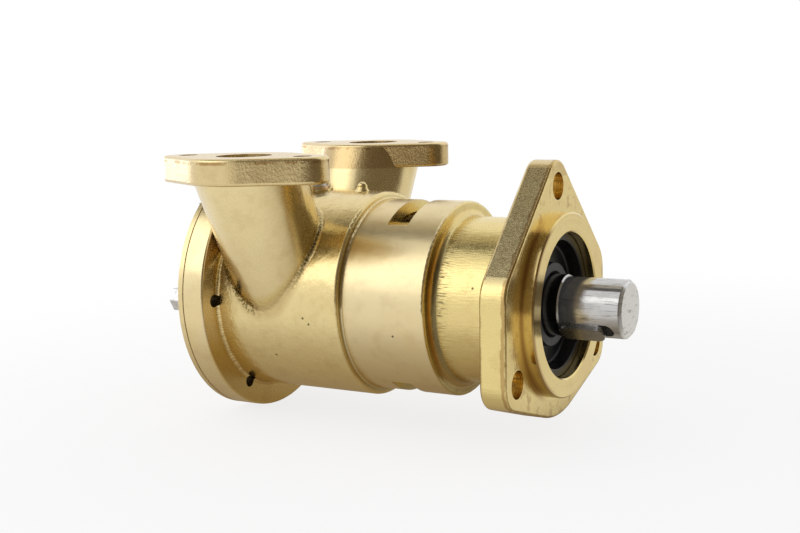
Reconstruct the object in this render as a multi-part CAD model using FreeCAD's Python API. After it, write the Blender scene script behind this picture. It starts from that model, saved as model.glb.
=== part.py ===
"""Raw water pump: a flexible-impeller sea water pump with a bronze body.

All lengths are millimetres and all angles are degrees.
The origin is the centre of the mounting flange's machined face, on the shaft axis.
+X runs out of the drive end, +Z points up to the two ports, -Y is the inlet side.
"""
import FreeCAD, Part

import math
import os

from FreeCAD import Vector

# Drive end: mounting flange and its register
FLANGE_THICKNESS = 10.0
FLANGE_BOLT_COUNT = 3
FLANGE_BOLT_HOLE = 9.8
FLANGE_BOLT_OUTSET = 9.2
FLANGE_LOBE_RADIUS = 9.2
FLANGE_BOTTOM_WIDTH = 7.4
FLANGE_SIDE_WIDTH = 12.5
FLANGE_SIDE_RADIUS = 12.0
FLANGE_SIDE_CENTRE_Z = 7.0
FLANGE_FRONT_ROUND = 0.9
FLANGE_BACK_ROUND = 1.6
FLANGE_BACK_FILLET = 2.0
REGISTER_WALL = 7.0
REGISTER_HEIGHT = 4.2
REGISTER_CHAMFER = 0.5

# Walls and shoulders of the cast barrel, from the flange to the cover
BEARING_WALL = 4.4
DRAIN_WALL = 4.5
CHAMBER_WALL = 6.2
FRONT_SHOULDER_OVERLAP = 6.2
FRONT_SHOULDER_ROUND = 0.9
FRONT_SHOULDER_FILLET = 2.5
REAR_SHOULDER_SETBACK = 4.1
REAR_SHOULDER_ROUND = 1.3
REAR_SHOULDER_FILLET = 0.7
COVER_FLANGE_RISE = 9.2
COVER_FLANGE_THICKNESS = 8.5
COVER_FLANGE_ROUND = 0.8
COVER_FLANGE_FILLET = 1.5

# Inside of the barrel
BEARING_BORE = 52.0
BEARING_STOP_HEIGHT = 5.0
BEARING_STOP_WIDTH = 1.4
LIP_SEAL_SECTION = 7.5
LIP_SEAL_WIDTH = 5.0
DRAIN_CAVITY_DIAMETER = 63.0
DRAIN_CAVITY_WIDTH = 10.8
CAVITY_ROUND = 1.5
SEAT_WEB_LIP = 1.5
SEAT_WEB_CLEARANCE = 2.5
SEAT_BORE_DEPTH = 4.5
SEAL_CHAMBER_LENGTH = 16.0
SEAL_CHAMBER_STEP = 5.6
IMPELLER_CHAMBER_DIAMETER = 65.2
IMPELLER_CHAMBER_LENGTH = 49.4

# Drain slots milled across the top and the bottom of the middle barrel
DRAIN_SLOT_WIDTH = 8.4
DRAIN_SLOT_INSET = 0.6
DRAIN_SLOT_DEPTH = 7.1

# Two ports on leaning necks
PORT_SETBACK = 20.6
PORT_Y = 45.5
PORT_FACE_Z = 54.9
PORT_FLANGE_THICKNESS = 9.5
PORT_FLANGE_RADIUS = 21.5
PORT_LOBE_RADIUS = 9.2
PORT_BOLT_SPACING = 50.0
PORT_BOLT_HOLE = 6.8
PORT_FLANGE_ROUND = 1.2
PORT_BORE = 20.0
PASSAGE_STEP = 0.2
PASSAGE_END_DIAMETER = 25.0
PASSAGE_END_Z = 8.0
NECK_TOP_RADIUS = 21.4
NECK_TOP_INSET = 0.7
NECK_FOOT_RADIUS = 17.0
NECK_FOOT_INSET = 24.8
NECK_FOOT_Z = -18.6
NECK_FILLET = 2.0

# Cast details on top of the chamber
CAM_BOSS_DIAMETER = 14.0
CAM_BOSS_RISE = 0.6
GATE_NUB_SETBACK = 1.0
GATE_NUB_RADIUS = 1.9
GATE_NUB_FOOT_RADIUS = 3.2
GATE_NUB_HEIGHT = 3.5
GATE_NUB_ROOT = 0.5

# End cover, its gasket and its screws
GASKET_THICKNESS = 0.5
GASKET_INSET = 0.5
COVER_THICKNESS = 2.0
COVER_SCREW_COUNT = 6
COVER_SCREW_OUTSET = 1.7
COVER_SCREW_DIAMETER = 4.8
COVER_SCREW_HEAD_ACROSS_FLATS = 8.0
COVER_SCREW_HEAD_HEIGHT = 3.6
COVER_SCREW_ENGAGEMENT = 6.5
COVER_DRILL_BREAKOUT = 1.5
COVER_HOLE_CLEARANCE = 0.4

# Shaft
DRIVE_JOURNAL_STEP = 0.6
DRIVE_JOURNAL_LENGTH = 22.7
DRIVE_END_CHAMFER = 1.1
SEAL_LAND_STEP = 1.5
SEAL_LAND_END_X = 3.8
SEAL_LAND_CHAMFER = 0.4
BEARING_SEAT_DIAMETER = 25.0
BEARING_SEAT_OVERRUN = 0.1
BEARING_COLLAR_HEIGHT = 2.8
LIP_LAND_DIAMETER = 20.0
LIP_LAND_OVERRUN = 4.8
IMPELLER_JOURNAL_DIAMETER = 16.0
SHAFT_END_GAP = 1.5

# Keys
DRIVE_KEY_WIDTH = 6.0
DRIVE_KEY_HEIGHT = 5.5
DRIVE_KEY_LENGTH = 16.5
DRIVE_KEYWAY_LENGTH = 19.2
DRIVE_KEY_START_GAP = 0.2
DRIVE_KEY_DEPTH = 3.5
DRIVE_KEY_ANGLE = -138.0
IMPELLER_KEY_WIDTH = 4.0
IMPELLER_KEY_HEIGHT = 4.0
IMPELLER_KEY_LENGTH = 30.0
IMPELLER_KEY_DEPTH = 2.4

# Ball bearings
BEARING_WIDTH = 15.0
BEARING_GAP = 3.0
BALL_DIAMETER = 7.938
BALL_PITCH_OFFSET = 0.25
BALL_COUNT = 9
RACE_LAND_INSET = 1.7
RACE_GROOVE_CLEARANCE = 0.25
CAGE_THICKNESS = 1.8
CAGE_WIDTH = 10.4
CAGE_POCKET_CLEARANCE = 0.2
RACE_SPACER_WALL = 3.0

# Circlips
CIRCLIP_THICKNESS = 1.8
CIRCLIP_GROOVE_DEPTH = 1.5
CIRCLIP_RING_WIDTH = 3.8
CIRCLIP_LUG_RADIUS = 2.2
CIRCLIP_GAP_DEGREES = 30.0
CIRCLIP_CLEARANCE = 0.1
SHAFT_CLIP_THICKNESS = 1.2
SHAFT_CLIP_GROOVE_DEPTH = 0.8
SHAFT_CLIP_RING_WIDTH = 3.4
SHAFT_CLIP_LUG_RADIUS = 1.9

# Drive-end oil seal
OIL_SEAL_FACE_X = 0.5
OIL_SEAL_WIDTH = 7.0
OIL_SEAL_GAP = 0.5
OIL_SEAL_SHELL = 3.0
OIL_SEAL_WEB = 1.8
OIL_SEAL_LIP_SECTION = 4.0
OIL_SEAL_LIP_INSET = 2.4
OIL_SEAL_BACK_ROUND = 0.5
OIL_SEAL_FRONT_ROUND = 0.6
OIL_SEAL_POCKET_DRAFT = 1.2
OIL_SEAL_POCKET_ROUND = 1.0
SEAL_RUNNING_CLEARANCE = 0.05
GARTER_WIRE_DIAMETER = 1.4
GARTER_SEAT_WALL = 1.8
GARTER_SEAT_ROOM = 0.2
LIP_ROUND = 0.3
LIP_EDGE_INSET = 1.6
LIP_EDGE_WIDTH = 0.8
LIP_FLARE = 0.9
INNER_LIP_EDGE_INSET = 1.8
INNER_LIP_EDGE_WIDTH = 1.0
INNER_LIP_FLARE = 1.6
INNER_LIP_SHELL = 2.2
INNER_LIP_SHELL_DRAFT = 1.2

# Water seal and slinger
CERAMIC_CLEARANCE = 1.5
CERAMIC_SECTION = 3.5
CERAMIC_PROUD = 1.0
SEAT_CUP_WALL = 2.5
SEAT_CUP_FLOOR = 1.2
CARBON_THICKNESS = 3.5
CARBON_STEP = 0.2
CARBON_CLEARANCE = 1.0
BELLOWS_WALL = 3.0
BELLOWS_FOLD = 1.6
BELLOWS_END_GAP = 0.8
SPRING_WIRE_DIAMETER = 1.8
SPRING_TURNS = 3.5
SPRING_CLEARANCE = 0.05
SLINGER_BLADE = 9.0
SLINGER_HUB_WALL = 2.5
SLINGER_HUB_LENGTH = 1.6
SLINGER_THICKNESS = 2.6

# Cam, wear plate and impeller
CAM_HEIGHT = 7.0
CAM_END_CLEARANCE = 0.3
WEAR_PLATE_THICKNESS = 1.2
WEAR_PLATE_BORE_CLEARANCE = 1.0
WEAR_PLATE_CLEARANCE = 0.1
CAM_SCREW_DIAMETER = 6.0
CAM_SCREW_HEAD_DIAMETER = 10.0
CAM_SCREW_HEAD_HEIGHT = 3.6
CAM_SCREW_SLOT_WIDTH = 1.4
CAM_SCREW_SLOT_DEPTH = 1.5
CAM_SCREW_REACH = 5.0
CAM_WASHER_DIAMETER = 11.4
CAM_WASHER_THICKNESS = 1.0
VANE_COUNT = 12
VANE_ROOT_THICKNESS = 3.4
VANE_TIP_DIAMETER = 5.2
VANE_SQUEEZE = 0.2
VANE_CLEARANCE = 0.3
VANE_PHASE = 15.0
HUB_WALL = 3.5
INSERT_WALL = 3.0
IMPELLER_END_CLEARANCE = 0.3

X_AXIS = Vector(1, 0, 0)
Y_AXIS = Vector(0, 1, 0)
Z_AXIS = Vector(0, 0, 1)
ORIGIN = Vector(0, 0, 0)

# Diameters that follow from the sizes above
REGISTER_DIAMETER = BEARING_BORE + 2 * REGISTER_WALL
FLANGE_BOLT_PCD = REGISTER_DIAMETER + 2 * FLANGE_BOLT_OUTSET
FLANGE_BOTTOM_RADIUS = REGISTER_DIAMETER / 2 + FLANGE_BOTTOM_WIDTH
FLANGE_SIDE_CENTRE_Y = REGISTER_DIAMETER / 2 + FLANGE_SIDE_WIDTH - FLANGE_SIDE_RADIUS
BEARING_BARREL_DIAMETER = BEARING_BORE + 2 * BEARING_WALL
DRAIN_BARREL_DIAMETER = DRAIN_CAVITY_DIAMETER + 2 * DRAIN_WALL
CHAMBER_BARREL_DIAMETER = IMPELLER_CHAMBER_DIAMETER + 2 * CHAMBER_WALL
CHAMBER_RADIUS = IMPELLER_CHAMBER_DIAMETER / 2
COVER_FLANGE_DIAMETER = CHAMBER_BARREL_DIAMETER + 2 * COVER_FLANGE_RISE
COVER_SCREW_PCD = CHAMBER_BARREL_DIAMETER + 2 * COVER_SCREW_OUTSET
BEARING_STOP_BORE = BEARING_BORE - 2 * BEARING_STOP_HEIGHT
BEARING_COLLAR_DIAMETER = BEARING_SEAT_DIAMETER + 2 * BEARING_COLLAR_HEIGHT
BALL_PITCH_DIAMETER = (BEARING_BORE + BEARING_SEAT_DIAMETER) / 2 + 2 * BALL_PITCH_OFFSET
LIP_SEAL_BORE = LIP_LAND_DIAMETER + 2 * LIP_SEAL_SECTION
SEAL_LAND_DIAMETER = BEARING_SEAT_DIAMETER - 2 * SEAL_LAND_STEP
DRIVE_JOURNAL_DIAMETER = SEAL_LAND_DIAMETER - 2 * DRIVE_JOURNAL_STEP
OIL_SEAL_LIP_DIAMETER = SEAL_LAND_DIAMETER + 2 * OIL_SEAL_LIP_SECTION
SEAT_WEB_HOLE = IMPELLER_JOURNAL_DIAMETER + 2 * SEAT_WEB_CLEARANCE
CERAMIC_INNER_DIAMETER = IMPELLER_JOURNAL_DIAMETER + 2 * CERAMIC_CLEARANCE
CERAMIC_OUTER_DIAMETER = CERAMIC_INNER_DIAMETER + 2 * CERAMIC_SECTION
SEAT_BORE = CERAMIC_OUTER_DIAMETER + 2 * SEAT_CUP_WALL
CARBON_OUTER_DIAMETER = CERAMIC_OUTER_DIAMETER - 2 * CARBON_STEP
BELLOWS_DIAMETER = IMPELLER_JOURNAL_DIAMETER + 2 * BELLOWS_WALL
SEAL_CHAMBER_DIAMETER = IMPELLER_CHAMBER_DIAMETER - 2 * SEAL_CHAMBER_STEP
SLINGER_DIAMETER = IMPELLER_JOURNAL_DIAMETER + 2 * SLINGER_BLADE
INSERT_DIAMETER = IMPELLER_JOURNAL_DIAMETER + 2 * INSERT_WALL
HUB_DIAMETER = INSERT_DIAMETER + 2 * HUB_WALL
DRIVE_KEY_SEAT_RADIUS = DRIVE_JOURNAL_DIAMETER / 2 - DRIVE_KEY_DEPTH
IMPELLER_KEY_SEAT_RADIUS = IMPELLER_JOURNAL_DIAMETER / 2 - IMPELLER_KEY_DEPTH

# Stations along the shaft, in order from the drive end
DRIVE_END_X = SEAL_LAND_END_X + DRIVE_JOURNAL_LENGTH
DRIVE_KEY_START_X = SEAL_LAND_END_X + DRIVE_KEY_START_GAP
OIL_SEAL_BACK_X = OIL_SEAL_FACE_X - OIL_SEAL_WIDTH
BEARING_SEAT_END_X = OIL_SEAL_BACK_X - BEARING_SEAT_OVERRUN
CIRCLIP_FRONT_X = OIL_SEAL_BACK_X - OIL_SEAL_GAP
FRONT_BEARING_X = CIRCLIP_FRONT_X - CIRCLIP_THICKNESS
REAR_BEARING_X = FRONT_BEARING_X - BEARING_WIDTH - BEARING_GAP
BEARING_STOP_X = REAR_BEARING_X - BEARING_WIDTH
FRONT_SHOULDER_X = BEARING_STOP_X + FRONT_SHOULDER_OVERLAP
LIP_SEAL_FRONT_X = BEARING_STOP_X - BEARING_STOP_WIDTH
LIP_SEAL_BACK_X = LIP_SEAL_FRONT_X - LIP_SEAL_WIDTH
DRAIN_SLOT_FRONT_X = LIP_SEAL_BACK_X - DRAIN_SLOT_INSET
LIP_LAND_END_X = LIP_SEAL_BACK_X - LIP_LAND_OVERRUN
SLINGER_X = LIP_LAND_END_X - SLINGER_THICKNESS
DRAIN_CAVITY_BACK_X = LIP_SEAL_BACK_X - DRAIN_CAVITY_WIDTH
SEAT_FLOOR_X = DRAIN_CAVITY_BACK_X - SEAT_WEB_LIP
SEAT_MOUTH_X = SEAT_FLOOR_X - SEAT_BORE_DEPTH
CERAMIC_FACE_X = SEAT_MOUTH_X - CERAMIC_PROUD
CARBON_BACK_X = CERAMIC_FACE_X - CARBON_THICKNESS
REAR_SHOULDER_X = SEAT_MOUTH_X - REAR_SHOULDER_SETBACK
IMPELLER_CHAMBER_FLOOR_X = SEAT_MOUTH_X - SEAL_CHAMBER_LENGTH
GATE_NUB_X = IMPELLER_CHAMBER_FLOOR_X + GATE_NUB_SETBACK
BELLOWS_END_X = IMPELLER_CHAMBER_FLOOR_X + BELLOWS_END_GAP
WEAR_PLATE_BACK_X = IMPELLER_CHAMBER_FLOOR_X - WEAR_PLATE_THICKNESS
PORT_X = IMPELLER_CHAMBER_FLOOR_X - PORT_SETBACK
COVER_FACE_X = IMPELLER_CHAMBER_FLOOR_X - IMPELLER_CHAMBER_LENGTH
COVER_FLANGE_BACK_X = COVER_FACE_X + COVER_FLANGE_THICKNESS
COVER_INNER_X = COVER_FACE_X - GASKET_THICKNESS
COVER_OUTER_X = COVER_INNER_X - COVER_THICKNESS
IMPELLER_JOURNAL_END_X = COVER_INNER_X + SHAFT_END_GAP
IMPELLER_KEY_CENTRE_X = (COVER_INNER_X + WEAR_PLATE_BACK_X) / 2

# Heights and reaches that follow from the diameters
DRAIN_SLOT_FLOOR_Z = DRAIN_BARREL_DIAMETER / 2 - DRAIN_SLOT_DEPTH
CAM_BOSS_TOP_Z = CHAMBER_BARREL_DIAMETER / 2 + CAM_BOSS_RISE
CAM_FLAT_Z = CHAMBER_RADIUS - CAM_HEIGHT
NECK_TOP_Y = PORT_Y - NECK_TOP_INSET
NECK_FOOT_Y = CHAMBER_BARREL_DIAMETER / 2 - NECK_FOOT_INSET
VANE_LENGTH = CHAMBER_RADIUS + VANE_SQUEEZE - VANE_TIP_DIAMETER / 2 - HUB_DIAMETER / 2


def polar_point(x, radius, degrees):
    """Point on a circle about the shaft axis, at an angle from +Y towards +Z."""
    angle = math.radians(degrees)
    return Vector(x, radius * math.cos(angle), radius * math.sin(angle))


def disc(x_low, x_high, diameter, centre=ORIGIN):
    """Solid cylinder along X between two stations."""
    base = Vector(x_low, centre.y, centre.z)
    return Part.makeCylinder(diameter / 2, x_high - x_low, base, X_AXIS)


def ring(x_low, x_high, outer_diameter, inner_diameter):
    """Flat-ended ring about the shaft axis."""
    return disc(x_low, x_high, outer_diameter).cut(disc(x_low - 1, x_high + 1, inner_diameter))


def joined(shapes):
    """One solid from several that touch, with the joins between flush faces removed."""
    first, *others = shapes
    return first.multiFuse(others).removeSplitter()


def rounded_wire(corners):
    """Closed wire in the XZ plane through (x, z, corner radius), with tangent arcs."""
    edges = []
    count = len(corners)
    ends = []
    for index, (x, z, radius) in enumerate(corners):
        point = Vector(x, 0, z)
        before = Vector(corners[index - 1][0], 0, corners[index - 1][1])
        after = Vector(corners[(index + 1) % count][0], 0, corners[(index + 1) % count][1])
        if radius <= 0:
            ends.append((point, point))
            continue
        inward = (before - point).normalize()
        outward = (after - point).normalize()
        half_turn = inward.getAngle(outward) / 2
        reach = radius / math.tan(half_turn)
        start = point + inward * reach
        finish = point + outward * reach
        bisector = (inward + outward).normalize()
        middle = point + bisector * (radius / math.sin(half_turn) - radius)
        edges.append(Part.Arc(start, middle, finish).toShape())
        ends.append((start, finish))
    for index in range(count):
        start = ends[index - 1][1]
        finish = ends[index][0]
        edges.append(Part.makeLine(start, finish))
    return Part.Wire(Part.__sortEdges__(edges))


def turned(corners):
    """Solid of revolution about X from (x, radius, corner radius) points."""
    face = Part.Face(rounded_wire(corners))
    return face.revolve(ORIGIN, X_AXIS, 360)


def hull_wire(circles, place):
    """Outline of a belt round circles given anticlockwise as (u, v, radius)."""
    count = len(circles)
    normals = []
    for index, (u, v, radius) in enumerate(circles):
        next_u, next_v, next_radius = circles[(index + 1) % count]
        distance = math.hypot(next_u - u, next_v - v)
        heading = math.atan2(next_v - v, next_u - u)
        normals.append(heading - math.acos((radius - next_radius) / distance))
    edges = []
    for index, (u, v, radius) in enumerate(circles):
        first = normals[index - 1]
        turn = (normals[index] - first) % (2 * math.pi)
        on_circle = [
            place(u + radius * math.cos(first + turn * share), v + radius * math.sin(first + turn * share))
            for share in (0, 0.5, 1)
        ]
        edges.append(Part.Arc(*on_circle).toShape())
        next_u, next_v, next_radius = circles[(index + 1) % count]
        normal = normals[index]
        far_end = place(next_u + next_radius * math.cos(normal), next_v + next_radius * math.sin(normal))
        edges.append(Part.makeLine(on_circle[2], far_end))
    return Part.Wire(Part.__sortEdges__(edges))


def edges_on_plane(shape, direction, station):
    """Edges whose two ends and middle all lie on a plane across one axis."""
    found = []
    for edge in shape.Edges:
        middle = edge.valueAt((edge.FirstParameter + edge.LastParameter) / 2)
        points = [vertex.Point for vertex in edge.Vertexes] + [middle]
        if all(abs(point.dot(direction) - station) < 1e-6 for point in points):
            found.append(edge)
    return found


def mounting_flange():
    """Three-lobed engine flange, a belt round its lobes and its fuller sides."""
    reach = FLANGE_BOLT_PCD / 2
    low_y = reach * math.cos(math.radians(30))
    low_z = -reach / 2
    circles = [
        (0, reach, FLANGE_LOBE_RADIUS),
        (-FLANGE_SIDE_CENTRE_Y, FLANGE_SIDE_CENTRE_Z, FLANGE_SIDE_RADIUS),
        (-low_y, low_z, FLANGE_LOBE_RADIUS),
        (0, 0, FLANGE_BOTTOM_RADIUS),
        (low_y, low_z, FLANGE_LOBE_RADIUS),
        (FLANGE_SIDE_CENTRE_Y, FLANGE_SIDE_CENTRE_Z, FLANGE_SIDE_RADIUS),
    ]
    outline = hull_wire(circles, lambda y, z: Vector(-FLANGE_THICKNESS, y, z))
    plate = Part.Face(outline).extrude(X_AXIS * FLANGE_THICKNESS)
    plate = plate.makeFillet(FLANGE_FRONT_ROUND, edges_on_plane(plate, X_AXIS, 0))
    plate = plate.makeFillet(FLANGE_BACK_ROUND, edges_on_plane(plate, X_AXIS, -FLANGE_THICKNESS))
    return plate


def barrel():
    """Stepped outside of the casting with its shoulders and the cover flange."""
    inside_flange_x = -FLANGE_THICKNESS / 2
    flange_root = BEARING_BARREL_DIAMETER / 2 + 1.5 * FLANGE_BACK_FILLET
    return turned([
        (inside_flange_x, 0, 0),
        (inside_flange_x, flange_root, 0),
        (-FLANGE_THICKNESS, flange_root, 0),
        (-FLANGE_THICKNESS, BEARING_BARREL_DIAMETER / 2, FLANGE_BACK_FILLET),
        (FRONT_SHOULDER_X, BEARING_BARREL_DIAMETER / 2, FRONT_SHOULDER_FILLET),
        (FRONT_SHOULDER_X, DRAIN_BARREL_DIAMETER / 2, FRONT_SHOULDER_ROUND),
        (REAR_SHOULDER_X, DRAIN_BARREL_DIAMETER / 2, REAR_SHOULDER_FILLET),
        (REAR_SHOULDER_X, CHAMBER_BARREL_DIAMETER / 2, REAR_SHOULDER_ROUND),
        (COVER_FLANGE_BACK_X, CHAMBER_BARREL_DIAMETER / 2, COVER_FLANGE_FILLET),
        (COVER_FLANGE_BACK_X, COVER_FLANGE_DIAMETER / 2, COVER_FLANGE_ROUND),
        (COVER_FACE_X, COVER_FLANGE_DIAMETER / 2, 0),
        (COVER_FACE_X, 0, 0),
    ])


def register():
    """Spigot that centres the pump in the engine's bore."""
    radius = REGISTER_DIAMETER / 2
    return turned([
        (-FLANGE_THICKNESS / 2, 0, 0),
        (REGISTER_HEIGHT, 0, 0),
        (REGISTER_HEIGHT, radius - REGISTER_CHAMFER, 0),
        (REGISTER_HEIGHT - REGISTER_CHAMFER, radius, 0),
        (-FLANGE_THICKNESS / 2, radius, 0),
    ])


def port_flange(side):
    """Two-bolt oval flange with rounded edges, on the -Y (-1) or +Y (+1) side."""
    half_spacing = PORT_BOLT_SPACING / 2
    circles = [
        (half_spacing, 0, PORT_LOBE_RADIUS),
        (0, 0, PORT_FLANGE_RADIUS),
        (-half_spacing, 0, PORT_LOBE_RADIUS),
        (0, 0, PORT_FLANGE_RADIUS),
    ]
    foot_z = PORT_FACE_Z - PORT_FLANGE_THICKNESS
    outline = hull_wire(circles, lambda x, y: Vector(PORT_X + x, side * PORT_Y + y, foot_z))
    plate = Part.Face(outline).extrude(Z_AXIS * PORT_FLANGE_THICKNESS)
    rims = edges_on_plane(plate, Z_AXIS, foot_z) + edges_on_plane(plate, Z_AXIS, PORT_FACE_Z)
    return plate.makeFillet(PORT_FLANGE_ROUND, rims)


def level_circle(y, z, radius):
    """Horizontal circle at the port's station along the shaft."""
    return Part.Wire(Part.makeCircle(radius, Vector(PORT_X, y, z), Z_AXIS))


def port_neck(side):
    """Tapered neck that leans from the port flange down into the barrel's side."""
    top_z = PORT_FACE_Z - PORT_FLANGE_ROUND
    top = level_circle(side * NECK_TOP_Y, top_z, NECK_TOP_RADIUS)
    foot = level_circle(side * NECK_FOOT_Y, NECK_FOOT_Z, NECK_FOOT_RADIUS)
    return Part.makeLoft([foot, top], True, True)


def neck_foot_edges(shape):
    """Curves along which the necks meet the round side of the chamber barrel."""
    radius = CHAMBER_BARREL_DIAMETER / 2
    found = []
    for edge in shape.Edges:
        span = edge.LastParameter - edge.FirstParameter
        points = [edge.valueAt(edge.FirstParameter + span * share) for share in (0.25, 0.5, 0.75)]
        on_barrel = all(abs(math.hypot(point.y, point.z) - radius) < 1e-3 for point in points)
        if on_barrel and isinstance(edge.Curve, Part.BSplineCurve):
            found.append(edge)
    return found


def branched_barrel():
    """Plain stretch of the chamber barrel with both necks and the fillets at their feet."""
    high_x = REAR_SHOULDER_X - REAR_SHOULDER_ROUND
    stretch = disc(COVER_FACE_X, high_x, CHAMBER_BARREL_DIAMETER)
    for side in (-1, 1):
        stretch = stretch.fuse(port_neck(side))
    return stretch.makeFillet(NECK_FILLET, neck_foot_edges(stretch))


def port_passage(side):
    """Water way: a round mouth through the flange, then a leaning hole to the chamber."""
    mouth_foot_z = PORT_FACE_Z - PORT_FLANGE_THICKNESS
    mouth_base = Vector(PORT_X, side * PORT_Y, mouth_foot_z)
    mouth = Part.makeCylinder(PORT_BORE / 2, PORT_FLANGE_THICKNESS + 1, mouth_base, Z_AXIS)
    lean = (NECK_TOP_Y - NECK_FOOT_Y) / (PORT_FACE_Z - NECK_FOOT_Z)
    end_y = side * (PORT_Y - lean * (mouth_foot_z - PASSAGE_END_Z))
    top = level_circle(side * PORT_Y, mouth_foot_z, PORT_BORE / 2 - PASSAGE_STEP)
    end = level_circle(end_y, PASSAGE_END_Z, PASSAGE_END_DIAMETER / 2)
    return mouth.fuse(Part.makeLoft([end, top], True, True))


def barrel_cavity():
    """Everything bored or cored out of the barrel along the shaft."""
    groove_radius = BEARING_BORE / 2 + CIRCLIP_GROOVE_DEPTH
    groove_front_x = CIRCLIP_FRONT_X + CIRCLIP_CLEARANCE
    groove_back_x = FRONT_BEARING_X - CIRCLIP_CLEARANCE
    return turned([
        (REGISTER_HEIGHT + 1, 0, 0),
        (REGISTER_HEIGHT + 1, BEARING_BORE / 2 + 1 + REGISTER_CHAMFER, 0),
        (REGISTER_HEIGHT - REGISTER_CHAMFER, BEARING_BORE / 2, 0),
        (groove_front_x, BEARING_BORE / 2, 0),
        (groove_front_x, groove_radius, 0),
        (groove_back_x, groove_radius, 0),
        (groove_back_x, BEARING_BORE / 2, 0),
        (BEARING_STOP_X, BEARING_BORE / 2, 0),
        (BEARING_STOP_X, BEARING_STOP_BORE / 2, 0),
        (LIP_SEAL_FRONT_X, BEARING_STOP_BORE / 2, 0),
        (LIP_SEAL_FRONT_X, LIP_SEAL_BORE / 2, 0),
        (LIP_SEAL_BACK_X, LIP_SEAL_BORE / 2, 0),
        (LIP_SEAL_BACK_X, DRAIN_CAVITY_DIAMETER / 2, CAVITY_ROUND),
        (DRAIN_CAVITY_BACK_X, DRAIN_CAVITY_DIAMETER / 2, CAVITY_ROUND),
        (DRAIN_CAVITY_BACK_X, SEAT_WEB_HOLE / 2, 0),
        (SEAT_FLOOR_X, SEAT_WEB_HOLE / 2, 0),
        (SEAT_FLOOR_X, SEAT_BORE / 2, 0),
        (SEAT_MOUTH_X, SEAT_BORE / 2, 0),
        (SEAT_MOUTH_X, SEAL_CHAMBER_DIAMETER / 2, CAVITY_ROUND),
        (IMPELLER_CHAMBER_FLOOR_X, SEAL_CHAMBER_DIAMETER / 2, 0),
        (IMPELLER_CHAMBER_FLOOR_X, CHAMBER_RADIUS, 0),
        (COVER_FACE_X - 1, CHAMBER_RADIUS, 0),
        (COVER_FACE_X - 1, 0, 0),
    ])


def drain_slot(side):
    """Straight cutter pass across the barrel, above (+1) or below (-1) a level floor."""
    depth = DRAIN_BARREL_DIAMETER / 2
    low_z = DRAIN_SLOT_FLOOR_Z if side > 0 else -DRAIN_SLOT_FLOOR_Z - depth
    corner = Vector(DRAIN_SLOT_FRONT_X - DRAIN_SLOT_WIDTH, -DRAIN_BARREL_DIAMETER / 2, low_z)
    return Part.makeBox(DRAIN_SLOT_WIDTH, DRAIN_BARREL_DIAMETER, depth, corner)


def cover_screw_angles():
    """Angles of the cover screws, one of them level with the shaft."""
    return [index * 360 / COVER_SCREW_COUNT for index in range(COVER_SCREW_COUNT)]


def cover_screw_holes(x_low, x_high, diameter):
    """Holes for the cover screws through a range of stations."""
    radius = COVER_SCREW_PCD / 2
    holes = [disc(x_low, x_high, diameter, polar_point(0, radius, a)) for a in cover_screw_angles()]
    return Part.makeCompound(holes)


def flange_bolt_holes():
    """Three bolt holes on the engine flange's pitch circle, one of them on top."""
    radius = FLANGE_BOLT_PCD / 2
    holes = []
    for index in range(FLANGE_BOLT_COUNT):
        centre = polar_point(0, radius, 90 + index * 360 / FLANGE_BOLT_COUNT)
        holes.append(disc(-FLANGE_THICKNESS - 1, 1, FLANGE_BOLT_HOLE, centre))
    return Part.makeCompound(holes)


def port_bolt_holes(side):
    """Tapped holes for the two hose-flange screws of one port."""
    holes = []
    for sign in (-1, 1):
        base = Vector(PORT_X + sign * PORT_BOLT_SPACING / 2, side * PORT_Y, PORT_FACE_Z)
        base = base - Z_AXIS * (PORT_FLANGE_THICKNESS + 1)
        holes.append(Part.makeCylinder(PORT_BOLT_HOLE / 2, PORT_FLANGE_THICKNESS + 2, base, Z_AXIS))
    return Part.makeCompound(holes)


def gate_nub():
    """Fettled stub of the casting's gate on top of the chamber barrel."""
    foot_z = CHAMBER_BARREL_DIAMETER / 2 - GATE_NUB_ROOT
    dome_z = CHAMBER_BARREL_DIAMETER / 2 + GATE_NUB_HEIGHT - GATE_NUB_RADIUS
    foot = Vector(GATE_NUB_X, 0, foot_z)
    stem = Part.makeCone(GATE_NUB_FOOT_RADIUS, GATE_NUB_RADIUS, dome_z - foot_z, foot, Z_AXIS)
    return stem.fuse(Part.makeSphere(GATE_NUB_RADIUS, Vector(GATE_NUB_X, 0, dome_z)))


def pump_body():
    """The bronze casting: flange, barrel, necks and ports in one piece, then machined."""
    boss_foot = Vector(PORT_X, 0, CHAMBER_RADIUS + 1)
    boss = Part.makeCylinder(CAM_BOSS_DIAMETER / 2, CAM_BOSS_TOP_Z - boss_foot.z, boss_foot, Z_AXIS)
    casting = [barrel(), branched_barrel(), mounting_flange(), register(), boss, gate_nub()]
    machining = [barrel_cavity(), flange_bolt_holes()]
    for side in (-1, 1):
        casting.append(port_flange(side))
        machining.extend([port_passage(side), port_bolt_holes(side), drain_slot(side)])
    drill_end_x = COVER_FLANGE_BACK_X + COVER_DRILL_BREAKOUT
    machining.append(cover_screw_holes(COVER_FACE_X - 1, drill_end_x, COVER_SCREW_DIAMETER))
    screw_base = Vector(PORT_X, 0, CHAMBER_RADIUS - 1)
    screw_length = CAM_BOSS_TOP_Z - CHAMBER_RADIUS + 2
    machining.append(Part.makeCylinder(CAM_SCREW_DIAMETER / 2, screw_length, screw_base, Z_AXIS))
    body = joined(casting)
    for cutter in machining:
        body = body.cut(cutter)
    return body.removeSplitter()


def end_cover():
    """Thin round plate over the impeller chamber."""
    plate = disc(COVER_OUTER_X, COVER_INNER_X, COVER_FLANGE_DIAMETER)
    hole = COVER_SCREW_DIAMETER + COVER_HOLE_CLEARANCE
    return plate.cut(cover_screw_holes(COVER_OUTER_X - 1, COVER_INNER_X + 1, hole))


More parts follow.
